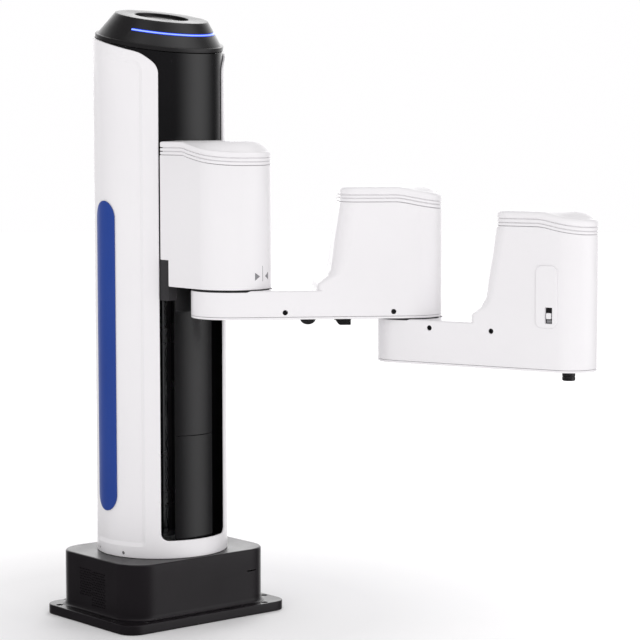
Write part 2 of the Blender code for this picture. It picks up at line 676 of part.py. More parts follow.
def make_top_cap(black, blue_glow):
    """The slanted cap, its round top plate and the light ring. All are turned about the cap's own axis."""
    pivot = make_pivot("cap_axis", None, (0.0, 0.0, CAP_Z), 0.0)
    pivot.rotation_euler = (0.0, CAP_TILT, 0.0)
    lip, lip_height = CAP_LIP
    steep = (CAP_TOP_RADIUS - CAP_CONE_FOOT) / (CAP_HEIGHT - CAP_EDGE - lip_height)

    def cone(u):
        return CAP_CONE_FOOT + steep * (u - lip_height)

    even = [2 * math.pi * step / 48 for step in range(48)]
    near_edge = math.radians(4)
    turns = [t for t in even if abs(abs(math.remainder(t, 2 * math.pi)) - LIGHT_HALF) > near_edge]
    for edge in (LIGHT_HALF, LIGHT_HALF + 0.004):
        turns += [edge, 2 * math.pi - edge]
    turns.sort()

    def ring(radius, u, groove=0.0):
        radii = {True: radius - groove, False: radius}
        lit = [radii[abs(math.remainder(t, 2 * math.pi)) <= LIGHT_HALF] for t in turns]
        return [(r * math.cos(t), r * math.sin(t), u) for r, t in zip(lit, turns)]

    low, high = LIGHT_U
    recess, depth = CAP_RECESS
    rings = [ring(lip, GAP), ring(lip, lip_height - CAP_EDGE), ring(lip - CAP_EDGE, lip_height)]
    rings += [ring(CAP_CONE_FOOT, lip_height), ring(cone(low), low), ring(cone(low), low, LIGHT_DEPTH)]
    rings += [ring(cone(high), high, LIGHT_DEPTH), ring(cone(high), high)]
    rings += [ring(CAP_TOP_RADIUS, CAP_HEIGHT - CAP_EDGE), ring(CAP_TOP_RADIUS - CAP_EDGE, CAP_HEIGHT)]
    rings += [ring(recess, CAP_HEIGHT), ring(recess, CAP_HEIGHT - depth)]
    under = [ring(CAP_CONE_FOOT - CAP_INSIDE, GAP), ring(CAP_CONE_FOOT - CAP_INSIDE, lip_height),
             ring(CAP_TOP_RADIUS - CAP_WALL, CAP_HEIGHT - depth - CAP_WALL)]
    make_object("top_cap", *loft(under + rings), black, pivot)
    steps = 32
    half = LIGHT_HALF - 0.008
    back = LIGHT_DEPTH - GAP
    section = [(cone(low) - back, low + GAP), (cone(low) - LIGHT_SET_BACK, low + GAP)]
    section += [(cone(high) - LIGHT_SET_BACK, high - GAP), (cone(high) - back, high - GAP)]
    points = []
    for step in range(steps + 1):
        t = -half + 2 * half * step / steps
        for radius, u in section:
            points.append((radius * math.cos(t), radius * math.sin(t), u))
    make_object("light_ring", points, sweep_faces(len(points)), blue_glow, pivot)


def make_lift_drive(metal, dark_metal, steel, black):
    """Backbone, rails, screw, its two bearings and the motor below it."""
    prism("column_backbone", BACKBONE_SECTION, STRIP_BOTTOM, BACKBONE_TOP, dark_metal)
    for side, name in ((-1, "z_rail_right"), (1, "z_rail_left")):
        prism(name, [(x, side * RAIL_Y + y) for x, y in RAIL_SECTION], *RAIL_Z, steel)
    centre = (SCREW_X, 0.0)
    turned("z_screw", SCREW_PROFILE, steel, centre, steps=16)
    for name, z_low, z_high, bore in BEARINGS:
        outline = rounded_rectangle(SCREW_X - 0.0115, SCREW_X + 0.018, 0.018, 0.003, steps=4)
        rings = [at_height(outline, z_low), at_height(outline, z_high)]
        rings += [on_circle(outline, bore, z_high, centre), on_circle(outline, bore, z_low, centre)]
        make_object(name, *loft(rings, closed=True), metal)
    square = rounded_rectangle(SCREW_X - Z_MOTOR_HALF, SCREW_X + Z_MOTOR_HALF, Z_MOTOR_HALF, 0.004, steps=5)
    rings = [at_height(square, Z_MOTOR_FOOT), at_height(square, Z_MOTOR_TOP)]
    rings += [on_circle(square, radius, z, centre) for radius, z in Z_MOTOR_SHAFT]
    make_object("z_motor", *loft(rings), black)


# Carriage -----------------------------------------------------------------------------------------


def carriage_half_outline(inset, rear):
    """Right half of the carriage in plan from the given rear edge to the front, with y positive."""
    radius = CARRIAGE_RADIUS - inset
    half = [(rear, radius), (0.080, radius), (CARRIAGE_KNEE, radius), (0.118, radius)]
    for step in range(ARC_STEPS + 1):
        turn = math.pi / 2 * (1 - step / ARC_STEPS)
        half.append((SHOULDER_X + radius * math.cos(turn), radius * math.sin(turn)))
    return half


def mirrored(half):
    """A whole outline, from the right half's rear round the front to the left half's rear."""
    return [(x, -y) for x, y in half] + [(x, y) for x, y in reversed(half)][1:]


def carriage_height(x):
    return CARRIAGE_TOP - slope(x, CARRIAGE_KNEE, SHOULDER_X + CARRIAGE_RADIUS, CARRIAGE_DROP)


def make_carriage_shell(white):
    outer = mirrored(carriage_half_outline(0.0, CARRIAGE_REAR))
    inner = mirrored(carriage_half_outline(CARRIAGE_WALL, CARRIAGE_REAR))
    bottom = lambda x: CARRIAGE_BOTTOM
    top = lambda x: carriage_height(x) - CARRIAGE_LID_DEPTH - GAP
    housing = band("carriage_housing", outer, inner, bottom, top, white)
    cut(housing, "housing_step", blocks([((0.040, -0.060, 0.350), (0.0770, 0.060, CARRIAGE_STEP))]))

    def ring(inset, height):
        radius = CARRIAGE_RADIUS - inset
        reach = SHELL_RADIUS + SHELL_CLEARANCE + inset
        limit = math.asin(radius / reach)
        back = [(reach * math.cos(limit * step / 6), reach * math.sin(limit * step / 6)) for step in range(7)]
        return whole(back + carriage_half_outline(inset, 0.0)[2:], height)

    low = lambda x: carriage_height(x) - CARRIAGE_LID_DEPTH
    under = lambda x: carriage_height(x) - LID_WALL
    crown = lambda x: CARRIAGE_TOP + CARRIAGE_CROWN
    rings = [ring(LID_WALL, under), ring(LID_WALL, low), ring(0.0, low), ring(0.0, carriage_height)]
    rings.append(ring(LID_CROWN, crown))
    make_object("carriage_lid", *loft(rings, flat_start=CARRIAGE_FLAT), white)


def make_carriage_frame(dark_metal):
    """Slide plate, cheeks that pass through the column's slots, and the shoulder drive's floor."""
    back, web, front = FRAME_X
    cheek_in, cheek_out = CHEEK_Y
    plan = [(back, -cheek_out), (front, -cheek_out), (front, -cheek_in), (web, -cheek_in), (web, cheek_in),
            (front, cheek_in), (front, cheek_out), (back, cheek_out)]
    frame = prism("carriage_frame", plan, *FRAME_Z, dark_metal)
    (x_low, y_low, z_low), (x_high, y_high, z_high) = CHEEK_PAD
    join(frame, "cheek_pad_left", blocks([CHEEK_PAD]))
    join(frame, "cheek_pad_right", blocks([((x_low, -y_high, z_low), (x_high, -y_low, z_high))]))
    floor = mirrored(carriage_half_outline(CARRIAGE_WALL + GAP, FLOOR_REAR))
    join(frame, "carriage_floor", loft([at_height(floor, z) for z in FLOOR_Z]))
    drills = drill_points([(SHOULDER_X, 0.0, 0.0)], SHOULDER_OPENING, (0, 0, 1), 0.380, 0.400, 32)
    cut(frame, "shoulder_opening", drills)


def make_carriage_inside(steel, black, metal, rubber):
    turned("ball_nut", BALL_NUT, steel, (SCREW_X, 0.0), closed=True)
    for side, name in ((-1, "rail_block_right"), (1, "rail_block_left")):
        prism(name, [(x, side * RAIL_Y + y) for x, y in RAIL_BLOCK_SECTION], *RAIL_BLOCK_Z, steel)
    centre = (SHOULDER_X, 0.0)
    turned("shoulder_reducer", SHOULDER_REDUCER, metal, centre)
    turned("shoulder_motor", SHOULDER_MOTOR, black, centre)
    turned("shoulder_seal", SHOULDER_SEAL, rubber, centre, closed=True, steps=32)


# Arms ---------------------------------------------------------------------------------------------


def side_half_width(arm, along, inset=0.0):
    """Half width of an arm's straight side at a distance along it."""
    lean = (arm["near"] - arm["far"]) / arm["length"]
    return (arm["near"] - inset - along * lean) / math.sqrt(1 - lean * lean)


def arm_half_outline(arm, inset=0.0):
    """Right half of an arm in plan: near arc, side, far arc."""
    near, far, length = arm["near"] - inset, arm["far"] - inset, arm["length"]
    tangent = math.acos((near - far) / length)
    half = []
    for step in range(ARC_STEPS + 1):
        turn = math.pi + (tangent - math.pi) * step / ARC_STEPS
        half.append((near * math.cos(turn), near * math.sin(turn)))
    for along in (TOWER_JOIN, arm["knee"]):
        half.append((along, side_half_width(arm, along, inset)))
    for step in range(ARC_STEPS + 1):
        turn = tangent * (1 - step / ARC_STEPS)
        half.append((length + far * math.cos(turn), far * math.sin(turn)))
    return half


def tower_half_outline(arm, back, corner, inset=0.0):
    """Right half of a tower in plan. It shares the arm's outline from the side onwards."""
    half = arm_half_outline(arm, inset)
    rear = back + inset
    radius = max(corner - inset, 0.002)
    end = rear + radius
    width = side_half_width(arm, end, inset)
    start = [(rear, 0.0), (rear, (width - radius) * 0.5)]
    corner_steps = ARC_STEPS - 2
    for step in range(corner_steps + 1):
        turn = math.pi / 2 * step / corner_steps
        start.append((end - radius * math.cos(turn), width - radius + radius * math.sin(turn)))
    return start + half[ARC_STEPS + 1:]


def whole(half, height):
    """A closed ring from a half outline, with heights from a function of the distance along."""
    outline = half + [(x, -y) for x, y in reversed(half[1:-1])]
    return [(x, y, height(x)) for x, y in outline]


def tower_height(arm, tower):
    end = arm["length"] + arm["far"]
    return lambda along: tower["top"] - slope(along, tower["knee"], end, tower["drop"])


def make_arm(prefix, pivot, arm, tower, backs, lean, hub, white, screws):
    """One arm: its housing with the tower, and the tower's lid. Returns the places of its side screws."""
    arm = dict(arm, knee=tower["knee"])
    top = tower_height(arm, tower)
    seam = lambda along: top(along) - tower["lid"] - GAP
    foot = arm["bottom"] + BASE_COVER + GAP
    level = lambda z: (lambda along: z)
    outer = [whole(arm_half_outline(arm), level(foot)), whole(arm_half_outline(arm), level(arm["top"]))]
    inner = [whole(arm_half_outline(arm, ARM_WALL), level(foot)),
             whole(arm_half_outline(arm, ARM_WALL), level(arm["top"] - ARM_WALL))]
    for number, (z, back, corner) in enumerate(backs):
        outer.append(whole(tower_half_outline(arm, back, corner), level(z)))
        if number % 2 == 0:
            inner.append(whole(tower_half_outline(arm, back, corner, ARM_WALL), level(z - ARM_WALL)))
    lid_outline = tower_half_outline(arm, lean, TOWER_TOP_CORNER)
    outer.append(whole(lid_outline, seam))
    inner.append(whole(tower_half_outline(arm, lean, TOWER_TOP_CORNER, ARM_WALL), seam))
    housing = make_object(prefix + "_housing", *loft(outer + inner[::-1], closed=True), white, pivot)
    radius, low, high = hub
    boss = drill_points([(0.0, 0.0, 0.0)], radius, (0, 0, 1), low, high, ROUND_STEPS)
    join(housing, prefix + "_hub", boss)
    lean_angle = math.asin((arm["near"] - arm["far"]) / arm["length"])
    spots = []
    for side in (-1, 1):
        for along, z in screws:
            normal = Vector((math.sin(lean_angle), side * math.cos(lean_angle), 0.0))
            spots.append((Vector((along, side * side_half_width(arm, along), z)), normal))
    for number, (spot, normal) in enumerate(spots):
        drills = drill_points([spot], SCREW_HOLE_RADIUS, normal, -0.006, 0.004, 8)
        cut(housing, f"{prefix}_screw_hole_{number + 1}", drills)
    lid_inset = tower_half_outline(arm, lean, TOWER_TOP_CORNER, LID_WALL)
    rim = lambda along: top(along) - tower["lid"]
    rings = [whole(lid_inset, lambda along: top(along) - LID_WALL), whole(lid_inset, rim)]
    rings += [whole(lid_outline, rim), whole(lid_outline, top)]
    rings.append(whole(tower_half_outline(arm, lean, TOWER_TOP_CORNER, LID_CROWN), level(tower["top"])))
    make_object(prefix + "_lid", *loft(rings, flat_start=ARC_STEPS + 2), white, pivot)
    return spots


def make_arm_screws(prefix, pivot, spots, steel):
    """Socket screws in the arm's sides, heads outwards."""
    for number, (spot, normal) in enumerate(spots):
        rings = [circle(radius, z, steps=8) for radius, z in ARM_SCREW]
        item = make_object(f"{prefix}_screw_{number + 1}", *loft(rings), steel, pivot)
        item.location = spot
        item.rotation_euler = normal.to_track_quat("Z", "X").to_euler()


def make_arm_base(prefix, pivot, arm, tower, radius, white):
    """The flat cover under an arm, with a round opening at its far axis."""
    arm = dict(arm, knee=tower["knee"])
    levels = [(BASE_EDGE, 0.0), (0.0, BASE_EDGE), (0.0, BASE_COVER)]
    rings = []
    for inset, rise in levels:
        rings.append(whole(arm_half_outline(arm, inset), lambda along: arm["bottom"] + rise))
    cover = make_object(prefix + "_base", *loft(rings), white, pivot)
    spot = (arm["length"], 0.0, arm["bottom"])
    drills = drill_points([spot], radius, (0, 0, 1), -PROUD, BASE_COVER + PROUD, ROUND_STEPS)
    cut(cover, prefix + "_base_opening", drills)


def make_rear_arm(pivot, white, metal, black, rubber, steel):
    tower = REAR_TOWER, REAR_TOWER_BACK, REAR_TOWER_LEAN
    spots = make_arm("rear_arm", pivot, REAR_ARM, *tower, REAR_HUB, white, SCREW_SPOTS_REAR)
    make_arm_screws("rear_arm", pivot, spots, steel)
    make_arm_base("rear_arm", pivot, REAR_ARM, REAR_TOWER, REAR_BASE_OPENING, white)
    centre = (REAR_ARM["length"], 0.0)
    turned("elbow_reducer", ELBOW_REDUCER, metal, centre, pivot)
    turned("elbow_motor", ELBOW_MOTOR, black, centre, pivot)
    turned("stop_bumper", BUMPER, rubber, BUMPER_SPOT, pivot, steps=20)
    make_object("cable_plug", *side_prism(PLUG_SECTION, *PLUG_Y), black, pivot)


def make_forearm(pivot, white, black, steel):
    tower = FORE_TOWER, FORE_TOWER_BACK, FORE_TOWER_LEAN
    spots = make_arm("forearm", pivot, FOREARM, *tower, FORE_HUB, white, SCREW_SPOTS_FORE)
    make_arm_screws("forearm", pivot, spots, steel)
    make_arm_base("forearm", pivot, FOREARM, FORE_TOWER, FORE_BASE_OPENING, white)
    housing = bpy.data.objects["forearm_housing"]
    switch_hole = ((SWITCH_S[0], -0.040, SWITCH_Z[0]), (SWITCH_S[1], -0.022, SWITCH_Z[1]))
    cut(housing, "switch_hole", blocks([switch_hole]))
    centre = (FOREARM["length"], 0.0)
    turned("wrist_motor", WRIST_MOTOR, black, centre, pivot)
    turned("spindle_bearing", SPINDLE_BEARING, steel, centre, pivot, closed=True)


def make_switch_panel(pivot, white, dark):
    """A raised panel on the forearm's right side, the switch set in it, and its button."""
    lean = math.asin((FOREARM["near"] - FOREARM["far"]) / FOREARM["length"])
    face = -side_half_width(FOREARM, PANEL_S[1])
    tilt = make_pivot("panel_plane", pivot, (PANEL_S[1], face, 0.0), lean)
    width = PANEL_S[1] - PANEL_S[0]
    centre_z = (PANEL_Z[0] + PANEL_Z[1]) / 2
    half_z = (PANEL_Z[1] - PANEL_Z[0]) / 2
    rings = []
    for inset, depth in ((0.0, GAP), (0.0, PANEL_PROUD - PANEL_BEVEL), (PANEL_BEVEL, PANEL_PROUD)):
        outline = rounded_rectangle(-width + inset, -inset, half_z - inset, PANEL_CORNER - inset, steps=5)
        rings.append([(x, -depth, centre_z + z) for x, z in outline])
    panel = make_object("button_panel", *loft(rings), white, tilt)
    low = SWITCH_S[0] - PANEL_S[1]
    high = SWITCH_S[1] - PANEL_S[1]
    cut(panel, "panel_window", blocks([((low, -0.004, SWITCH_Z[0]), (high, 0.001, SWITCH_Z[1]))]))
    near = (low + GAP, SWITCH_Y[0], SWITCH_Z[0] + GAP)
    switch = block("switch_body", near, (high - GAP, SWITCH_Y[1], SWITCH_Z[1] - GAP), dark, tilt)
    low = BUTTON_S[0] - PANEL_S[1]
    high = BUTTON_S[1] - PANEL_S[1]
    well = ((low - GAP, -0.003, BUTTON_Z[0] - GAP), (high + GAP, BUTTON_WELL, BUTTON_Z[1] + GAP))
    cut(switch, "button_well", blocks([well]))
    near = (low, BUTTON_Y[0], BUTTON_Z[0])
    block("teach_button", near, (high, BUTTON_Y[1], BUTTON_Z[1]), white, tilt, bevel=0.0004)


def make_tool_spindle(pivot, black):
    turned("tool_spindle", SPINDLE, black, parent=pivot, steps=16)


def main():
    clear_scene()
    white = make_material("white_plastic", (0.86, 0.86, 0.87), 0.35)
    dark = make_material("dark_coating", (0.03, 0.028, 0.03), 0.38)
    gloss = make_material("gloss_black", (0.012, 0.012, 0.013), 0.12)
    black = make_material("black_plastic", (0.02, 0.02, 0.022), 0.45)
    blue = make_material("blue_stripe", (0.012, 0.05, 0.30), 0.35)
    glow = make_material("blue_light", (0.10, 0.22, 1.0), 0.30, glow=4.0)
    metal = make_material("aluminium", (0.60, 0.61, 0.62), 0.40, 1.0)
    steel = make_material("steel", (0.45, 0.46, 0.48), 0.30, 1.0)
    dark_metal = make_material("dark_metal", (0.06, 0.06, 0.065), 0.45, 0.6)
    rubber = make_material("black_rubber", (0.015, 0.015, 0.016), 0.75)
    green = make_material("board_green", (0.02, 0.16, 0.07), 0.45)

    make_base_plate(dark)
    make_base_housing(dark)
    make_vent_grille(-1, dark)
    make_vent_grille(1, dark)
    make_rear_connectors(black, metal, green)
    make_power_rocker(black)
    make_base_electronics(metal, green)
    make_cooling_fan(black)
    make_column_shell(white)
    make_side_stripe(-1, blue)
    make_side_stripe(1, blue)
    make_front_covers(gloss)
    make_top_cap(black, glow)
    make_lift_drive(metal, dark_metal, steel, black)
    make_carriage_shell(white)
    make_carriage_frame(dark_metal)
    make_carriage_inside(steel, black, metal, rubber)
    shoulder = make_pivot("shoulder_axis", None, (SHOULDER_X, 0.0, 0.0), SHOULDER_ANGLE)
    make_rear_arm(shoulder, white, metal, black, rubber, steel)
    elbow = make_pivot("elbow_axis", shoulder, (REAR_ARM["length"], 0.0, 0.0), ELBOW_ANGLE)
    make_forearm(elbow, white, black, steel)
    make_switch_panel(elbow, white, dark)
    wrist = make_pivot("wrist_axis", elbow, (FOREARM["length"], 0.0, 0.0), 0.0)
    make_tool_spindle(wrist, black)


main()
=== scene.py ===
"""The looks of a table-top scara robot arm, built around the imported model. Lengths are millimetres here."""

import json
import math

import bmesh
import bpy
from mathutils import Matrix, Vector

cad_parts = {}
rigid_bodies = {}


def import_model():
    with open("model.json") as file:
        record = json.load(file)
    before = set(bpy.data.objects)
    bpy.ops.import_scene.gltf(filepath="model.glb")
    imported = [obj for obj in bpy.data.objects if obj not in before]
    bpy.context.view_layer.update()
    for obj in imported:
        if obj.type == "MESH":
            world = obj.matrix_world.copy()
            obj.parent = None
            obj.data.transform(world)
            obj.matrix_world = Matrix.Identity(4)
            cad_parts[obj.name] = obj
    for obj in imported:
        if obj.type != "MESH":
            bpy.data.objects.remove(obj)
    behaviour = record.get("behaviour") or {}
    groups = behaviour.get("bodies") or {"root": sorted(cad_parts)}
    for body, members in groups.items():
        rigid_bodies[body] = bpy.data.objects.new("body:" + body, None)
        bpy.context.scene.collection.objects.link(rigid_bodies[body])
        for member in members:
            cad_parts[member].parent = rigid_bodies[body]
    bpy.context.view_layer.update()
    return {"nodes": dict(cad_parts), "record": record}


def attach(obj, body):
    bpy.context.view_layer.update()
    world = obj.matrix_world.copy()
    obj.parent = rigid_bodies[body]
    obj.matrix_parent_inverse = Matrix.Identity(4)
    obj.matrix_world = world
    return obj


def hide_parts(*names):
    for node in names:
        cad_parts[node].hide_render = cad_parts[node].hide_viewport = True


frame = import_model()

MM = 0.001
TAU = 2 * math.pi
DOME = 0.965                   # the studio's light on matt surfaces at the horizon, where the backdrop is 1
DOME_FALL = 0.30               # how much dimmer it is overhead
ROOM_LIGHT = 0.10              # the room that gloss reflects, apart from its softboxes
# Each softbox's azimuth, elevation and reach in degrees, and its strength
SOFTBOXES = ((36.0, 8.0, 45.6, 1.35), (142.0, 14.0, 60.0, 2.2), (35.0, 60.0, 38.0, 1.6),
             (-75.0, 66.0, 26.0, 0.8))
# Each lamp's name, place, target, size and power, in metres and watts
LAMPS = (
    ("key", (3.2, -0.7, 1.7), (0.15, 0.05, 0.35), (1.8, 1.8), 18.0),
    ("fill", (0.2, -2.8, 0.6), (0.0, 0.0, 0.3), (1.4, 1.0), 5.0),
    ("back", (-1.5, 1.7, 2.2), (0.1, 0.0, 0.1), (1.3, 1.3), 26.0),
)
# The floor's own light: metres from the base where it starts and is full, and its strength at each
FLOOR_GLOW = (("From Min", 0.25), ("From Max", 0.75), ("To Min", 0.0), ("To Max", 0.40))
CAMERA_PLACE = (2.10085, -1.52524, 0.57243)
CAMERA_LENS = 125.649
CAMERA_PITCH = 5.094
CAMERA_ROLL = -0.034

SHELL_R = 76.0
SHELL_BOTTOM = 74.8
SHELL_WALL = 2.3
WINDOW_HALF = 45.9
WINDOW_EDGE = math.degrees(math.asin(WINDOW_HALF / SHELL_R))
WINDOW_Z = 95.0
WINDOW_CORNER = 8.0
PLATE = (-81, 94, -115, 115)  # x low, x high, y low, y high of the base plate
PLATE_CORNER = 20
PLATE_TOP = 11.0
PLATE_HOLES = ((87.2, 83), (56, 107.5), (-76.5, 83), (-56, 107.5))
HOUSING = (-77, 81, -100, 100)
HOUSING_CORNER = 33
HOUSING_FOOT = 11.3
HOUSING_TOP = 74.5
HOUSING_EDGE = 2.3
HOUSING_WALL = 4.0
FOOT_FLARE = 3.9
FOOT_RISE = 5.6
VENT_HOLES = ((-24.0, 28.2, 7, 11), (0.2, 18.2, 8, 14))   # x, z, columns and rows of each group
VENT_PITCH = (3.35, 2.95)
VENT_STAGGER = 1.67
VENT_RADIUS = 1.1
GAUZE_CELLS = (9, 7)
GAUZE_PITCH = (6, 6.2)
SEAM = 117.9                  # degrees from the front to the seam with the back cover
PANEL_EDGE = 50.7             # degrees from the front to the side panel's chamfer
PANEL_CHAMFER = 4.4
STRIPE_AT = 95.2              # degrees from the front to the middle of each blue band
STRIPE_HALF = 15.3
STRIPE_LOW = 125.3
STRIPE_HIGH = 482.0
# Each band's section from its back out to its face: inset, depth under the shell's surface
STRIPE_EDGE = ((0.0, 1.6), (0.0, 0.95), (0.15, 0.72), (0.5, 0.6), (1.2, 0.58))
COVER_R = 73.2
COVER_INSIDE = 71.2
COVER_HALF = 48.5
COVER_BOTTOM = 534
COLLAR_BOTTOM = 610
STRIP_R = 68.0
STRIP_INSIDE = 65.8
STRIP_HALF = 27
STRIP_SPANS = ((75.6, 213.6), (214.2, 552))
SHELL_SCREW_Z = 79.6
SHELL_SCREWS = (-107.8, -72.3, 72.3, 107.8)
TOP_GAP = 0.3                 # between the slanted cap and what ends under it
LID_GAP = 0.35
# The window's upper edge, out from its side to the cap's rim: height, degrees from the front
SHOULDER_LINE = [(604.0, 37.16), (620.0, 37.16), (628.8, 37.44), (636.7, 40.5), (644.2, 47.8), (649.3, 55.1),
                 (652.9, 66.1),
                 (657.4, 80.0), (660.4, 90.0), (663.42, 100.0)]
CAP_Z = 661.3
CAP_TILT = math.radians(10.4)
SHOULDER_X = 132.9
SHOULDER_TURN = math.radians(54.74)
ELBOW_TURN = math.radians(-37.27)
ARM_LENGTH = 200.0
ARM_WALL = 2.5
ARM_EDGE = 2.6

TO_ARM = Matrix.Translation((SHOULDER_X, 0.0, 0.0)) @ Matrix.Rotation(SHOULDER_TURN, 4, "Z")
TO_FOREARM = TO_ARM @ Matrix.Translation((ARM_LENGTH, 0.0, 0.0)) @ Matrix.Rotation(ELBOW_TURN, 4, "Z")

REAR = {"near": 44.5, "far": 36.6, "bottom": 354.3, "top": 386.0, "join": 143.0}
FORE = {"near": 34.6, "far": 30.0, "bottom": 304.0, "top": 353.2, "join": 153.0}
# Each tower's back edge from its foot up: distance along the arm, height, corner radius
REAR_BACK = [
    (91.6, 386.0, 7), (93.0, 386.4, 7), (93.8, 387.6, 6.5), (94.0, 389.6, 6), (94.1, 391.6, 6),
             (94.6, 393.2, 6),
    (96.2, 394.8, 6.5), (99.2, 397.3, 7.5), (102.2, 399.6, 9), (105.0, 401.5, 10), (107.2, 403.7, 11.5),
             (108.7, 406.8, 13),
    (110.3, 412.5, 15), (111.3, 418.5, 16.5), (112.2, 426.0, 17.5), (113.4, 436.0, 18), (115.0, 448.0, 18.5),
    (117.4, 462.0, 19), (119.4, 474.0, 19.5), (120.3, 482.0, 20),
]
FORE_BACK = [
    (93.2, 353.2, 7), (94.6, 353.6, 7), (95.3, 354.8, 6.5), (95.5, 357.0, 6), (95.6, 359.6, 6),
             (96.0, 361.6, 6),
    (97.0, 363.2, 6.5), (98.9, 364.8, 7.5), (100.8, 366.3, 8.5), (104.4, 370.0, 10.5), (107.4, 373.2, 12),
    (109.2, 376.6, 13), (110.3, 381.0, 13.5), (110.9, 387.5, 15), (111.8, 398.0, 16), (113.7, 413.0, 17),
    (116.2, 429.0, 18), (118.7, 449.0, 18.5), (120.0, 458.8, 19),
]
REAR_TOP = {"z": 500.0, "knee": 185.6, "drop": 8.5, "power": 1.25, "lean": (120.5, 20), "depth": 16.4,
            "grooves": (8.9, 12.5)}
FORE_TOP = {"z": 476.0, "knee": 179.5, "drop": 8.4, "power": 1.3, "lean": (120.8, 19), "depth": 16.1,
            "grooves": (8.3, 12.7)}
CARRIAGE_R = 45.0
CARRIAGE_TOP = 549.5
CARRIAGE_PEAK = 550.6
CARRIAGE_CROWN = 15.0
CARRIAGE_BOTTOM = 387.0
CARRIAGE_CHEEK = 416.5        # underside of its rear end, where it runs in the column
CARRIAGE_GROOVES = (6.8, 10.9)
CARRIAGE_LID_DEPTH = 14.7
ARM_CROWN = 22.0
SCREWS_REAR = [(57.9, 362.0), (178.7, 362.0)]
SCREWS_FORE = [(45.8, 345.0), (121.6, 345.0)]


# Materials ----------------------------------------------------------------------------------------


def material(name, colour, shade, rough, grain, bump, metallic=0.0, coat=0.0, level=0.5, stretch=(1, 1, 1),
             glow=0.0):
    """A surface whose colour wanders between two close shades, with a varied gloss and a fine grain."""
    made = bpy.data.materials.new(name)
    made.use_nodes = True
    nodes, links = made.node_tree.nodes, made.node_tree.links
    shader = nodes["Principled BSDF"]
    place = nodes.new("ShaderNodeTexCoord")
    mapping = nodes.new("ShaderNodeMapping")
    mapping.inputs["Scale"].default_value = stretch
    links.new(place.outputs["Object"], mapping.inputs["Vector"])

    def field(scale, detail):
        made_field = nodes.new("ShaderNodeTexNoise")
        made_field.inputs["Scale"].default_value = scale
        made_field.inputs["Detail"].default_value = detail
        links.new(mapping.outputs["Vector"], made_field.inputs["Vector"])
        return made_field.outputs["Fac"]

    def between(value, low, high):
        spread = nodes.new("ShaderNodeMapRange")
        spread.inputs["From Min"].default_value = 0.3
        spread.inputs["From Max"].default_value = 0.7
        spread.inputs["To Min"].default_value = low
        spread.inputs["To Max"].default_value = high
        links.new(value, spread.inputs["Value"])
        return spread.outputs["Result"]

    ramp = nodes.new("ShaderNodeValToRGB")
    ramp.color_ramp.elements[0].position = 0.35
    ramp.color_ramp.elements[0].color = (*colour, 1)
    ramp.color_ramp.elements[1].position = 0.65
    ramp.color_ramp.elements[1].color = (*shade, 1)
    links.new(field(9.0, 3.0), ramp.inputs["Fac"])
    links.new(ramp.outputs["Color"], shader.inputs["Base Color"])
    links.new(between(field(26.0, 4.0), *rough), shader.inputs["Roughness"])
    relief = nodes.new("ShaderNodeBump")
    relief.inputs["Strength"].default_value = bump
    relief.inputs["Distance"].default_value = 0.0003
    links.new(field(grain, 2.0), relief.inputs["Height"])
    links.new(relief.outputs["Normal"], shader.inputs["Normal"])
    shader.inputs["Metallic"].default_value = metallic
    shader.inputs["Specular IOR Level"].default_value = level
    shader.inputs["Coat Weight"].default_value = coat
    shader.inputs["Coat Roughness"].default_value = 0.12
    if glow:
        links.new(ramp.outputs["Color"], shader.inputs["Emission Color"])
        shader.inputs["Emission Strength"].default_value = glow
    return made


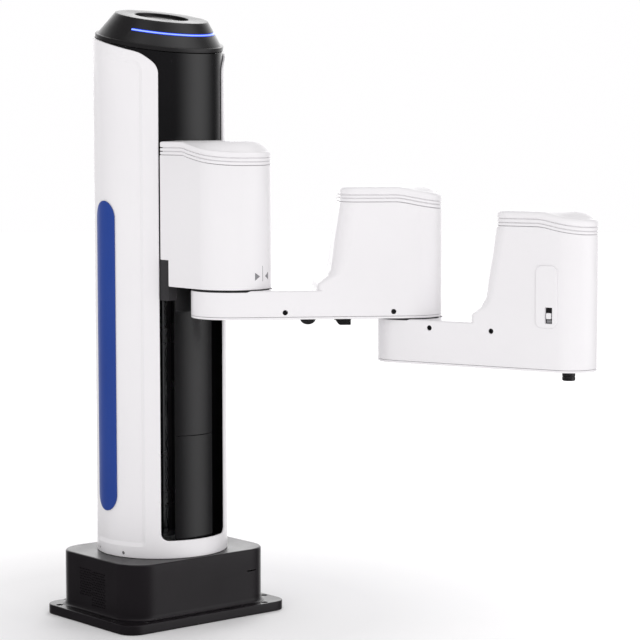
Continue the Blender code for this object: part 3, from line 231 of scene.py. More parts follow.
# Each look: two close colours, the range of its roughness, its grain and bump, and what else differs
LOOKS = {
    "white_plastic": ((0.83, 0.815, 0.83), (0.815, 0.80, 0.815), (0.32, 0.42), 1400, 0.05, {"coat": 0.2}),
    "dark_coating": ((0.0095, 0.0075, 0.0095), (0.0125, 0.0102, 0.0125), (0.28, 0.36), 1600, 0.14,
                     {"level": 0.28}),
    "dark_sheet": ((0.016, 0.015, 0.016), (0.021, 0.019, 0.021), (0.36, 0.48), 1500, 0.12, {}),
    "gloss_black": ((0.005, 0.005, 0.0055), (0.007, 0.0065, 0.0075), (0.15, 0.20), 500, 0.01,
                    {"level": 0.5}),
    "black_plastic": ((0.011, 0.0105, 0.011), (0.015, 0.014, 0.015), (0.27, 0.36), 1300, 0.08,
                      {"level": 0.45}),
    "blue_stripe": ((0.011, 0.049, 0.285), (0.013, 0.055, 0.305), (0.30, 0.38), 1200, 0.04, {}),
    "blue_light": ((0.15, 0.22, 1.0), (0.19, 0.27, 1.0), (0.25, 0.32), 300, 0.02, {"glow": 1.6}),
    "blue_diffuser": ((0.012, 0.05, 0.62), (0.018, 0.065, 0.68), (0.25, 0.32), 300, 0.02, {"glow": 0.6}),
    "aluminium": ((0.60, 0.61, 0.62), (0.68, 0.69, 0.70), (0.28, 0.44), 420, 0.08,
                  {"metallic": 1.0, "stretch": (1, 1, 0.05)}),
    "motor_black": ((0.022, 0.022, 0.024), (0.030, 0.030, 0.032), (0.38, 0.52), 900, 0.12,
                    {"metallic": 0.3}),
    "steel": ((0.46, 0.47, 0.49), (0.56, 0.57, 0.58), (0.18, 0.32), 600, 0.06,
              {"metallic": 1.0, "stretch": (0.2, 0.2, 1)}),
    "dark_metal": ((0.045, 0.043, 0.046), (0.060, 0.058, 0.062), (0.36, 0.50), 1000, 0.10,
                   {"metallic": 0.5}),
    "black_rubber": ((0.014, 0.014, 0.015), (0.020, 0.020, 0.021), (0.62, 0.80), 1100, 0.25, {}),
    "board_green": ((0.012, 0.13, 0.055), (0.02, 0.19, 0.08), (0.30, 0.45), 700, 0.10, {}),
    "screw_dark": ((0.10, 0.10, 0.105), (0.16, 0.16, 0.165), (0.24, 0.36), 800, 0.06, {"metallic": 1.0}),
    "mark_grey": ((0.20, 0.20, 0.21), (0.25, 0.25, 0.26), (0.40, 0.50), 900, 0.05, {}),
    "floor_white": ((0.90, 0.895, 0.90), (0.895, 0.89, 0.895), (0.55, 0.65), 200, 0.02,
                    {"level": 0.0, "glow": 0.26}),
}
MATERIALS = {name: material(name, *look, **extra) for name, (*look, extra) in LOOKS.items()}


# Mesh building ------------------------------------------------------------------------------------


def piece(name, shape, body, look, stands_for=(), matrix=None, sharp=32):
    """A finished mesh from (points, faces) in millimetres, riding on a body."""
    points, faces = shape
    made = bmesh.new()
    corners = [made.verts.new(point) for point in points]
    for face in faces:
        face = list(dict.fromkeys(face))
        if len(face) > 2:
            made.faces.new([corners[index] for index in face])
    bmesh.ops.remove_doubles(made, verts=made.verts, dist=1e-4)
    bmesh.ops.dissolve_degenerate(made, edges=made.edges, dist=1e-4)
    bmesh.ops.recalc_face_normals(made, faces=made.faces)
    made.transform(Matrix.Scale(MM, 4) @ (matrix or Matrix()))
    mesh = bpy.data.meshes.new(name)
    made.to_mesh(mesh)
    made.free()
    item = bpy.data.objects.new(name, mesh)
    bpy.context.scene.collection.objects.link(item)
    mesh.materials.append(MATERIALS[look])
    mesh.shade_smooth()
    mesh.set_sharp_from_angle(angle=math.radians(sharp))
    if body:
        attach(item, body)
        if stands_for:
            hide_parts(*stands_for)
    return item


def finish(item, sharp=32):
    """Applies an object's modifiers, then smooths its faces again."""
    graph = bpy.context.evaluated_depsgraph_get()
    mesh = bpy.data.meshes.new_from_object(item.evaluated_get(graph))
    item.modifiers.clear()
    item.data = mesh
    mesh.shade_smooth()
    mesh.set_sharp_from_angle(angle=math.radians(sharp))


def carve(item, shapes, matrix=None, sharp=32):
    """Cuts shapes out of an object."""
    for number, shape in enumerate(shapes):
        tool = piece(f"{item.name}_tool_{number}", shape, None, "mark_grey", matrix=matrix)
        change = item.modifiers.new("carve", "BOOLEAN")
        change.operation = "DIFFERENCE"
        change.solver = "EXACT"
        change.object = tool
    bpy.context.view_layer.update()
    finish(item, sharp)
    for tool in [other for other in bpy.data.objects if other.name.startswith(item.name + "_tool_")]:
        bpy.data.objects.remove(tool, do_unlink=True)


def ladder(ring, flat_until):
    """Faces across a symmetric ring: one flat face up to a point, then rungs to its front."""
    count, half = len(ring), len(ring) // 2
    if flat_until >= half:
        return [list(ring)]
    faces = [[ring[index % count] for index in range(-flat_until, flat_until + 1)]] if flat_until > 0 else []
    for index in range(flat_until, half):
        faces.append([ring[index], ring[index + 1], ring[(count - index - 1) % count],
                      ring[(count - index) % count]])
    return faces


def loft(rings, closed=False, flat=(10**6, 10**6)):
    """A skin through rings. A closed one joins last to first; an open one is capped at both ends."""
    count = len(rings[0])
    points = [point for ring in rings for point in ring]
    faces = []
    for level in range(len(rings) if closed else len(rings) - 1):
        low, high = level * count, (level + 1) % len(rings) * count
        for index in range(count):
            after = (index + 1) % count
            faces.append([low + index, low + after, high + after, high + index])
    if not closed:
        faces += ladder(list(range(count)), flat[0])
        faces += ladder(list(range(len(points) - count, len(points))), flat[1])
    return points, faces


def walled(outer, inner, faces):
    """A sheet with thickness: its outer and inner points over the same faces, joined at each open edge."""
    count = len(outer)
    sides = {(a, b) for face in faces for a, b in zip(face, face[1:] + face[:1])}
    rims = [[b, a, a + count, b + count] for a, b in sorted(sides) if (b, a) not in sides]
    return outer + inner, faces + [[index + count for index in reversed(face)] for face in faces] + rims


def merged(*shapes):
    points, faces = [], []
    for more_points, more_faces in shapes:
        first = len(points)
        points += more_points
        faces += [[first + index for index in face] for face in more_faces]
    return points, faces


def circle(radius, z, centre=(0.0, 0.0), steps=64):
    return [(centre[0] + radius * math.cos(TAU * i / steps), centre[1] + radius * math.sin(TAU * i / steps),
             z)
            for i in range(steps)]


def turned(profile, centre=(0.0, 0.0), steps=64, closed=False):
    return loft([circle(radius, z, centre, steps) for radius, z in profile], closed)


def rounded(profile, radius, steps=4):
    """A profile of (a, b) points with each corner between its ends rounded, less where it's short of room."""
    made = [profile[0]]
    for before, corner, after in zip(profile, profile[1:], profile[2:]):
        before, corner, after = Vector(before), Vector(corner), Vector(after)
        reach = min(radius, (before - corner).length * 0.45, (after - corner).length * 0.45)
        start = corner + (before - corner).normalized() * reach
        end = corner + (after - corner).normalized() * reach
        for step in range(steps + 1):
            t = step / steps
            made.append(tuple(start * (1 - t) ** 2 + corner * 2 * t * (1 - t) + end * t * t))
    return made + [profile[-1]]


def box_shape(low, high, bevel=0.0):
    """A block with its edges along z, and its top and bottom rims, bevelled."""
    inset = [(bevel, low[2]), (0.0, low[2] + bevel), (0.0, high[2] - bevel),
             (bevel, high[2])] if bevel else [
        (0.0, low[2]), (0.0, high[2])]
    rings = []
    for step, z in inset:
        corner = max(bevel * 1.6 - step, 0.01)
        rings.append([(x, y, z)
                      for x, y in rounded_box(low[0] + step, high[0] - step, low[1] + step, high[1] - step,
                                              corner, 3)])
    return loft(rings)


def rounded_box(x_low, x_high, y_low, y_high, radius, steps=8):
    outline = []
    centres = [(x_high - radius, y_high - radius), (x_low + radius, y_high - radius),
               (x_low + radius, y_low + radius),
               (x_high - radius, y_low + radius)]
    for quarter, (x, y) in enumerate(centres):
        for step in range(steps + 1):
            turn = math.pi / 2 * (quarter + step / steps)
            outline.append((x + radius * math.cos(turn), y + radius * math.sin(turn)))
    return outline


def drill(spot, direction, radius, start, end, steps=24):
    """A round drill through a spot along a direction."""
    direction = Vector(direction).normalized()
    across = direction.orthogonal().normalized()
    other = direction.cross(across)
    turns = [TAU * i / steps for i in range(steps)]
    rings = []
    for distance in (start, end):
        middle = Vector(spot) + direction * distance
        rings.append([tuple(middle + across * radius * math.cos(turn) + other * radius * math.sin(turn))
                      for turn in turns])
    return loft(rings)


def polar(radius, turn, z):
    return (radius * math.cos(turn), radius * math.sin(turn), z)


def quarter(steps, first=0):
    """The angles of a quarter turn in equal steps, from the first step on."""
    return [math.pi / 2 * i / steps for i in range(first, steps + 1)]


def inset_box(box, corner, steps):
    """The outline(inset) of a rounded rectangle (x low, x high, y low, y high)."""
    x_low, x_high, y_low, y_high = box
    return lambda inset: rounded_box(x_low + inset, x_high - inset, y_low + inset, y_high - inset,
                                     corner - inset, steps)


def stacked(outline, profile):
    """Rings of an outline(inset), one for each (inset, z) of a profile."""
    return [[(x, y, z) for x, y in outline(inset)] for inset, z in profile]


def smooth(low, high, value):
    t = min(max((value - low) / (high - low), 0.0), 1.0)
    return t * t * (3 - 2 * t)


def ease(value, start, end, drop, power):
    t = min(max((value - start) / (end - start), 0.0), 1.0)
    return drop * (1 - (1 - t) ** power)


def lid_profile(depth, grooves, edge, deep=1.5, wide=0.55):
    """(inset, drop) down a lid's side: rounded top edge, then grooves, to its lower rim."""
    profile = [(edge * (1 - math.sin(a)), edge * (1 - math.cos(a))) for a in quarter(8)]
    for groove in grooves:
        profile += [(0.0, groove - wide - 0.35), (0.18, groove - wide), (deep, groove - wide * 0.6),
                    (deep, groove + wide * 0.6), (0.18, groove + wide), (0.0, groove + wide + 0.35)]
    return profile + [(0.0, depth - 0.7), (0.25, depth - 0.2), (0.7, depth)]


def lid(outline, height, depth, grooves, edge, crown, wall=3.0, flat=0):
    """A striped lid over an outline(inset), with its rim at height(x), hollow from below.

    The crown is (reach, peak): the top swells from the rim to the peak's height within the reach.
    """
    reach, peak = crown
    levels = lid_profile(depth, grooves, edge) + [(wall, depth), (wall, wall)]
    rings = []
    for step in range(9):
        part = 1 - step / 9
        inset = edge + (reach - edge) * part
        rings.append([(x, y, height(x) + (peak - height(x)) * (1 - (1 - part) ** 1.7))
                      for x, y in outline(inset)])
    rings += [[(x, y, height(x) - drop) for x, y in outline(inset)] for inset, drop in levels]
    return loft(rings, flat=(10**6, flat))


# Column and base ----------------------------------------------------------------------------------


def column_top(x):
    return CAP_Z - x * math.tan(CAP_TILT)


def shell_top(degrees):
    return column_top(SHELL_R * math.cos(math.radians(degrees))) - TOP_GAP


def window_corner():
    """(height, degrees) round the window's lower right-hand corner."""
    line = []
    for turn in quarter(8):
        across = WINDOW_HALF - WINDOW_CORNER * (1 - math.sin(turn))
        line.append((WINDOW_Z + WINDOW_CORNER * (1 - math.cos(turn)),
                     math.degrees(math.asin(across / SHELL_R))))
    return line


def curve(a, b, c, d, t):
    """A value between b and c on the smooth curve through a, b, c and d."""
    return 0.5 * (2 * b + (c - a) * t + (2 * a - 5 * b + 4 * c - d) * t * t + (3 * b - a - 3 * c + d) * t**3)


def window_shoulder():
    """(height under the slanted top, degrees) along the sweep from the window's side out to the cap's rim."""
    line = []
    knots = [SHOULDER_LINE[0]] + SHOULDER_LINE + [SHOULDER_LINE[-1]]
    for before, start, end, after in zip(knots, knots[1:], knots[2:], knots[3:]):
        for step in range(6):
            t = step / 6
            z, degrees = [curve(*values, t) for values in zip(before, start, end, after)]
            line.append((z - shell_top(degrees), degrees))
    return line + [(0.0, SHOULDER_LINE[-1][1])]


def read_line(line, z):
    if z <= line[0][0]:
        return line[0][1]
    for (z0, a0), (z1, a1) in zip(line, line[1:]):
        if z <= z1:
            return a0 + (a1 - a0) * (z - z0) / max(z1 - z0, 1e-9)
    return line[-1][1]


def recess(degrees, z):
    """How far the side panel is set back from the shell's surface, down a straight chamfer."""
    below_top = shell_top(degrees) - 12.7 - z
    across = (degrees - PANEL_EDGE) * math.radians(SHELL_R)
    up = min(z - 88.0, below_top)
    corner = 12.0 if below_top < z - 88.0 else 6.0
    if across < corner and up < corner:
        reach = corner - math.hypot(corner - min(across, corner), corner - min(up, corner))
    else:
        reach = min(across, up)
    depth = 2.1 * min(max(reach / PANEL_CHAMFER, 0.0), 1.0)
    fade = max(1 - smooth(62, 100, degrees), smooth(0, 60, below_top))
    return depth * fade * (1 - smooth(109, 116.5, degrees))


def shell_sheet():
    """The outer skin of the column shell: a grid squeezed along the window's edge and the slanted top."""
    corner, shoulder = window_corner(), window_shoulder()
    dense = []
    for line, lift in ((corner, lambda a: 0.0), (shoulder, shell_top)):
        near = [(math.radians(a) * SHELL_R, z + lift(a)) for z, a in line]
        for (s0, z0), (s1, z1) in zip(near, near[1:]):
            dense += [(s0 + (s1 - s0) * step / 5, z0 + (z1 - z0) * step / 5) for step in range(5)]
    straight = math.radians(WINDOW_EDGE) * SHELL_R
    edge_angle = math.degrees(math.asin((WINDOW_HALF - WINDOW_CORNER) / SHELL_R))
    follow = [0.0, 0.10, 0.28, 0.55, 0.95]
    columns = [(a, 0.0) for a in (0, 6, 12, 18, 24, edge_angle, 31.5, 33, 34.5, 36)]
    columns += [(WINDOW_EDGE + d, d) for d in follow]
    foot = PANEL_EDGE + math.degrees(PANEL_CHAMFER / SHELL_R)
    fixed = [39, 41.5, 44, 46.5, 48.5] + [PANEL_EDGE + d for d in (-1.2, -0.3, 0.0, 0.3, 1.0)]
    fixed += [foot + d for d in (-1.2, -0.3, 0.0, 0.3, 1.2)]
    fixed += [56.2, 57.6, 59, 60.5, 62] + list(range(64, 109, 4))
    fixed += [109, 111, 113, 115, 116.4, 117.1, 117.5, 117.75, SEAM]
    columns += [(a, follow[-1]) for a in fixed]
    rows = [(z, 0)
            for z in (SHELL_BOTTOM, SHELL_BOTTOM + 0.5, 78, 82, 85, 87, 87.7, 88, 88.3, 90, 92, 92.4, 92.8,
                      93.6,
                      94.2, 94.6, 94.88, WINDOW_Z)]
    strip_rows = len(rows)
    rows += [(z, 0) for z in (95.05, 95.25, 95.6, 96, 96.6, 97.3, 98.2, 99.2, 100.3, 101.5, 103, 106)]
    rows += [(112 + 16 * i, 0) for i in range(31)]
    rows += [(-46.0 + 2 * i, 1) for i in range(12)] + [(-22.0 + 0.6 * i, 1) for i in range(31)]
    rows += [(-3.7 + 0.37 * i, 1) for i in range(11)]

    def edge_drop(degrees, z):
        along = math.radians(degrees) * SHELL_R
        if z <= WINDOW_Z and degrees <= edge_angle:
            away = WINDOW_Z - z
        elif z < 90.0 or degrees > 104.0:
            away = 9.0
        elif 104.0 < z < 600.0:
            away = along - straight
        else:
            away = min(math.hypot(along - s, z - h) for s, h in dense)
        away = min(away, (SEAM - degrees) * math.radians(SHELL_R) * 1.6, (z - SHELL_BOTTOM) * 1.5 + 0.3)
        reach = 1.1
        return reach - math.sqrt(reach**2 - (reach - min(max(away, 0.0), reach)) ** 2)

    outer, inner, faces = [], [], []
    for level, (z_row, slanted) in enumerate(rows):
        limit = WINDOW_EDGE if level >= strip_rows else 0.0
        if level >= strip_rows:
            limit = read_line(shoulder, z_row) if slanted else read_line(corner, z_row)
        half = []
        for angle, offset in columns:
            degrees = angle
            if level >= strip_rows and angle <= WINDOW_EDGE:
                degrees = max(angle, limit)
            elif level >= strip_rows:
                squeeze = (SEAM - max(limit, WINDOW_EDGE)) / (SEAM - WINDOW_EDGE)
                degrees = max(max(limit, WINDOW_EDGE) + (angle - WINDOW_EDGE) * squeeze, limit + offset)
            z = z_row + shell_top(degrees) if slanted else z_row
            half.append((math.radians(degrees), SHELL_R - edge_drop(degrees, z) - recess(degrees, z), z))
        for turn, radius, z in [(-turn, radius, z) for turn, radius, z in reversed(half)] + half[1:]:
            outer.append(polar(radius, turn, z))
            inside = SHELL_R - SHELL_WALL
            inner.append(polar(inside, turn, z))
    half_width = len(columns) - 1
    width = 2 * half_width + 1
    for level in range(len(rows) - 1):
        for column in range(width - 1):
            nearer = min(abs(column - half_width), abs(column + 1 - half_width))
            if level >= strip_rows - 1 and columns[nearer + 1][0] <= edge_angle + 1e-6:
                continue
            at = level * width + column
            faces.append([at, at + 1, at + width + 1, at + width])
    return walled(outer, inner, faces)


def paint_shade_inside(item):
    """Paints the faces that look in at the column's axis black: painted shade for the dark inside of the
    column, seen through its slots.
    """
    item.data.materials.append(MATERIALS["black_rubber"])
    for face in item.data.polygons:
        centre, normal = face.center, face.normal
        is_inside = math.hypot(centre.x, centre.y) < (SHELL_R - SHELL_WALL + 0.4) * MM
        if is_inside and centre.x * normal.x + centre.y * normal.y < 0:
            face.material_index = 1


def build_column():
    shell = piece("column_shell_skin", shell_sheet(), "column", "white_plastic", stands_for=["column_shell"])
    paint_shade_inside(shell)
    holes = [(angle, SHELL_SCREW_Z, 1.9) for angle in SHELL_SCREWS[:2] + SHELL_SCREWS[:1:-1]]
    holes += [(angle, 524.6, 1.2) for angle in (-110, 110)]
    drills = []
    for angle, z, radius in holes:
        turn = math.radians(angle)
        drills.append(drill(polar(SHELL_R, turn, z), polar(1, turn, 0), radius, -1.3, 2))
    carve(shell, drills)
    for number, angle in enumerate(SHELL_SCREWS):
        turn = Matrix.Rotation(math.radians(angle), 4, "Z")
        turn = turn @ Matrix.Translation((SHELL_R - 1.4, 0, SHELL_SCREW_Z))
        turn = turn @ Matrix.Rotation(math.pi / 2, 4, "Y")
        piece(f"shell_screw_{number + 1}", socket_screw(1.7), "column", "screw_dark", matrix=turn)
    angles = [118.25 + (241.75 - 118.25) * i / 60 for i in range(61)]
    edges = [118.05, 118.12, 118.4, 118.8]
    angles = edges + angles[1:-1] + [360 - a for a in reversed(edges)]
    rows = [SHELL_BOTTOM, SHELL_BOTTOM + 0.5, 90] + [110 + 50 * i for i in range(11)] + [640, 655, 662, 675]
    outer, inner = [], []
    for z_row in rows:
        for angle in angles:
            turn = math.radians(angle)
            away = min(angle - 118.05, 241.95 - angle) * math.radians(SHELL_R) * 1.6 + 0.05
            drop = 0.8 - math.sqrt(0.64 - (0.8 - min(away, 0.8)) ** 2)
            z = min(z_row, column_top(SHELL_R * math.cos(turn)) - TOP_GAP)
            for points, radius in ((outer, SHELL_R - drop), (inner, SHELL_R - SHELL_WALL)):
                points.append(polar(radius, turn, z))
    width = len(angles)
    faces = [[r * width + c, r * width + c + 1, (r + 1) * width + c + 1, (r + 1) * width + c]
             for r in range(len(rows) - 1) for c in range(width - 1)]
    back = piece("column_back_skin", walled(outer, inner, faces), "column", "white_plastic",
                 stands_for=["column_back"])
    paint_shade_inside(back)


def build_stripes():
    """A blue band with round ends, set in each side of the column."""
    for side, node in ((-1, "side_stripe_right"), (1, "side_stripe_left")):
        half_mm = math.radians(STRIPE_HALF) * SHELL_R
        rings = []
        for inset, depth in STRIPE_EDGE:
            radius = SHELL_R - depth
            ring = []
            for step in range(64):
                turn = TAU * step / 64
                across = -(half_mm - inset) * math.cos(turn)
                lift = (half_mm - inset) * math.sin(turn)
                z = (STRIPE_HIGH - half_mm + lift) if math.sin(turn) > 1e-9 else (STRIPE_LOW + half_mm + lift)
                place = side * (math.radians(STRIPE_AT) + across / SHELL_R)
                ring.append(polar(radius, place, z))
            rings.append(ring)
        points = [p for ring in rings for p in ring]
        faces = []
        for level in range(len(rings) - 1):
            for index in range(64):
                after = (index + 1) % 64
                low, high = level * 64, level * 64 + 64
                faces.append([low + index, low + after, high + after, high + index])
        for first in (0, len(points) - 64):
            for index in range(1, 32):
                last = first + 64 - index
                faces.append([first + index, first + index + 1, last - 1, last])
            faces.append([first, first + 1, first + 63])
        piece(node + "_band", (points, faces), "column", "blue_stripe", stands_for=[node])


def build_covers():
    """Gloss black: the collar and cover over the slots, and the strip between them."""
    edge = math.degrees(math.asin(COVER_HALF / COVER_R))

    def wrapped(angles, bottom):
        rows = []
        for angle in angles:
            turn = math.radians(angle)
            top = column_top(COVER_R * math.cos(turn)) - TOP_GAP
            corners = ((COVER_R, bottom), (COVER_R, top), (COVER_INSIDE, top), (COVER_INSIDE, bottom))
            rows.append([polar(r, turn, z) for r, z in corners])
        return loft(rows)

    cover = wrapped([-edge + 2 * edge * i / 48 for i in range(49)], COVER_BOTTOM)
    collar = wrapped([edge + (360 - 2 * edge) * i / 80 for i in range(81)], COLLAR_BOTTOM)
    piece("front_cover_gloss", merged(cover, collar), "column", "gloss_black", stands_for=["front_cover"])
    strips = []
    half = math.degrees(math.asin(STRIP_HALF / STRIP_R))
    for z_low, z_high in STRIP_SPANS:
        sections = []
        for angle in [-half + 2 * half * i / 40 for i in range(41)]:
            turn = math.radians(angle)
            away = (half - abs(angle)) * math.radians(STRIP_R)
            face = STRIP_R - (0.9 - math.sqrt(0.81 - (0.9 - min(away, 0.9)) ** 2))
            ring = [(STRIP_INSIDE, z_low), (face - 0.3, z_low), (face, z_low + 0.3), (face, z_high - 0.3),
                    (face - 0.3, z_high), (STRIP_INSIDE, z_high)]
            sections.append([polar(r, turn, z) for r, z in ring])
        strips.append(loft(sections))
    piece("slot_strip_gloss", merged(*strips), "column", "gloss_black", stands_for=["slot_strip"])


def build_cap():
    """The slanted cap with its groove, and the light ring set in it."""
    tilt = Matrix.Translation((0, 0, CAP_Z)) @ Matrix.Rotation(CAP_TILT, 4, "Y")
    lip, foot, top, high = 74.0, 71.2, 53.9, 30.9
    slant = (top - foot) / (high - 0.8 - 5.2)
    cone = lambda u: foot + slant * (u - 5.2)
    low_u, high_u, half = 17.2, 20.2, 68.0
    angles = [i * 2.0 for i in range(-90, 90) if abs(abs(i * 2.0) - half) > 0.9]
    angles = sorted(angles + [-half - 0.25, -half, half, half + 0.25])
    turns = [math.radians(a) for a in angles]
    inside = [abs(a) <= half + 1e-9 for a in angles]

    def ring(radius, u, groove=0.0):
        return [polar(radius - groove * is_in, t, u) for t, is_in in zip(turns, inside)]

    profile = [(66.0, 0.3), (lip - 0.5, 0.3), (lip, 0.8), (lip, 4.6), (lip - 0.15, 4.95), (lip - 0.5, 5.2),
               (foot + 0.25, 5.2),
               (foot, 5.3), (cone(5.5), 5.5)]
    rings = [ring(r, u) for r, u in profile]
    rings += [ring(cone(low_u - 0.3), low_u - 0.3), ring(cone(low_u), low_u, 0.2),
              ring(cone(low_u), low_u + 0.05, 2.2),
              ring(cone(high_u), high_u - 0.05, 2.2), ring(cone(high_u), high_u, 0.2),
              ring(cone(high_u + 0.3), high_u + 0.3)]
    upper = [(cone(high - 2.0), high - 2.0), (cone(high - 1.1), high - 1.1), (top - 0.25, high - 0.6),
             (top - 0.6, high - 0.18),
             (top - 1.1, high), (top - 2.0, high), (32.4, high), (31.6, high - 0.15), (31.1, high - 0.6),
             (31.0, high - 1.2),
             (31.0, high - 3.1), (30.7, high - 3.5), (29.9, high - 3.6), (24.0, high - 3.6),
             (10.0, high - 3.6)]
    rings += [ring(r, u) for r, u in upper]
    rings = [ring(50.0, high - 7.5), ring(64.0, 5.2), ring(64.0, 0.3)] + rings
    piece("top_cap_shape", loft(rings), "column", "black_plastic", stands_for=["top_cap"], matrix=tilt)
    sections, cores = [], []
    for step in range(97):
        t = math.radians(-half + 0.2 + (2 * half - 0.4) * step / 96)
        corners = ((cone(low_u) - 1.9, low_u + 0.25), (cone(low_u) - 0.45, low_u + 0.25),
                   (cone(low_u + 0.6) - 0.2, low_u + 0.6),
                   (cone(high_u - 0.6) - 0.2, high_u - 0.6), (cone(high_u) - 0.45, high_u - 0.25),
                   (cone(high_u) - 1.9, high_u - 0.25))
        sections.append([polar(r, t, u) for r, u in corners])
        middle = (low_u + high_u) / 2
        cores.append([polar(cone(u) - back, t, u)
                      for back, u in ((1.0, middle - 0.65), (0.12, middle - 0.65), (0.02, middle - 0.4),
                                      (0.02, middle + 0.4),
                                      (0.12, middle + 0.65), (1.0, middle + 0.65))])
    piece("light_ring_diffuser", loft(sections), "column", "blue_diffuser", ["light_ring"],
          tilt)
    piece("light_ring_core", loft(cores), "column", "blue_light", matrix=tilt)


def build_base():
    profile = rounded([(3.0, 0.0), (0.0, 0.0), (0.0, PLATE_TOP), (3.0, PLATE_TOP)], 1.5, 6)
    plate = piece("base_plate_cast", loft(stacked(inset_box(PLATE, PLATE_CORNER, 12), profile)), "column",
                  "dark_coating", stands_for=["base_plate"])
    spots = [(x, s * y) for s in (-1, 1) for x, y in PLATE_HOLES]
    carve(plate, [turned([(3.4, -1), (3.4, 9.8), (4.2, 10.9), (4.3, 12)], spot, 32) for spot in spots])
    box = inset_box(HOUSING, HOUSING_CORNER, 14)
    shoulder = HOUSING_TOP - HOUSING_EDGE
    profile = [(-FOOT_FLARE * (1 - math.sin(a)), HOUSING_FOOT + FOOT_RISE * (1 - math.cos(a)))
               for a in quarter(8)]
    profile += [(0.0, 30.0), (0.0, 60.0), (0.0, shoulder)]
    profile += [(HOUSING_EDGE * (1 - math.cos(a)), shoulder + HOUSING_EDGE * math.sin(a))
                for a in quarter(7, 1)]
    rings = stacked(box, profile + [(3.0, HOUSING_TOP)])
    count = len(rings[0])
    hole = [TAU * (i + 0.5) / count for i in range(count)]
    ceiling = HOUSING_TOP - HOUSING_WALL
    rings += [[polar(30, t, z) for t in hole] for z in (HOUSING_TOP, ceiling)]
    rings += stacked(box, [(HOUSING_WALL, ceiling), (HOUSING_WALL, HOUSING_FOOT)])
    housing = piece("base_housing_cast", loft(rings, closed=True), "column", "dark_coating",
                    stands_for=["base_housing"])
    openings = [box_shape((-92, -62, 20.5), (-66, 62, 61.5)), box_shape((76, 62.6, 48.8), (92, 76.6, 50.2))]
    for side in (-1, 1):
        for x_low, z_low, columns, rows in VENT_HOLES:
            for row in range(rows):
                for column in range(columns):
                    x = x_low + VENT_PITCH[0] * column + (VENT_STAGGER if row % 2 else 0.0)
                    z = z_low + VENT_PITCH[1] * row + 1.0
                    openings.append(drill((x, side * 100, z), (0, side, 0), VENT_RADIUS, -5.5, 2, 6))
    carve(housing, [merged(*openings[2:]), openings[0], openings[1]], sharp=35)
    for side, node in ((-1, "vent_grille_right"), (1, "vent_grille_left")):
        y = sorted((side * 96.4, side * 95.8))
        mesh = piece(node + "_gauze", box_shape((-28.2, y[0], 16.8), (28.2, y[1], 63.2), 0.2), "column",
                     "dark_sheet",
                     stands_for=[node])
        cells = []
        for i in range(GAUZE_CELLS[0]):
            for k in range(GAUZE_CELLS[1]):
                x, z = GAUZE_PITCH[0] * i, GAUZE_PITCH[1] * k
                cells.append(box_shape((-26 + x, y[0] - 1, 18.6 + z), (-21.5 + x, y[1] + 1, 23 + z)))
        carve(mesh, [merged(*cells)])


def socket_screw(radius):
    """A small screw head with a hexagon socket, looking along +z."""
    rim = [(radius, -1.0), (radius, 0.25), (radius * 0.93, 0.5), (radius * 0.8, 0.6)]
    rings = [circle(r, z, steps=36) for r, z in rim]
    for reach, z in ((0.52, 0.6), (0.50, 0.5), (0.50, -0.6)):
        ring = []
        for step in range(36):
            turn = TAU * step / 36
            side = math.cos(math.pi / 6) / math.cos((turn % (math.pi / 3)) - math.pi / 6)
            ring.append(polar(radius * reach * side, turn, z))
        rings.append(ring)
    return loft(rings)


# Carriage -----------------------------------------------------------------------------------------


def carriage_half(inset, rear):
    radius = CARRIAGE_R - inset
    half = [(x, radius)
            for x in (rear, 70.0, 76.9, 77.0, 84.0, 92.0, 98.0, 103.0, 106.0, 110.0, 115.0, 120.0, 126.0)]
    for step in range(33):
        turn = math.pi / 2 * (1 - step / 32)
        half.append((SHOULDER_X + radius * math.cos(turn), radius * math.sin(turn)))
    return half


def carriage_height(x):
    return CARRIAGE_TOP - ease(x, 102.0, 178.0, 10.8, 1.6) * smooth(98.0, 112.0, x)


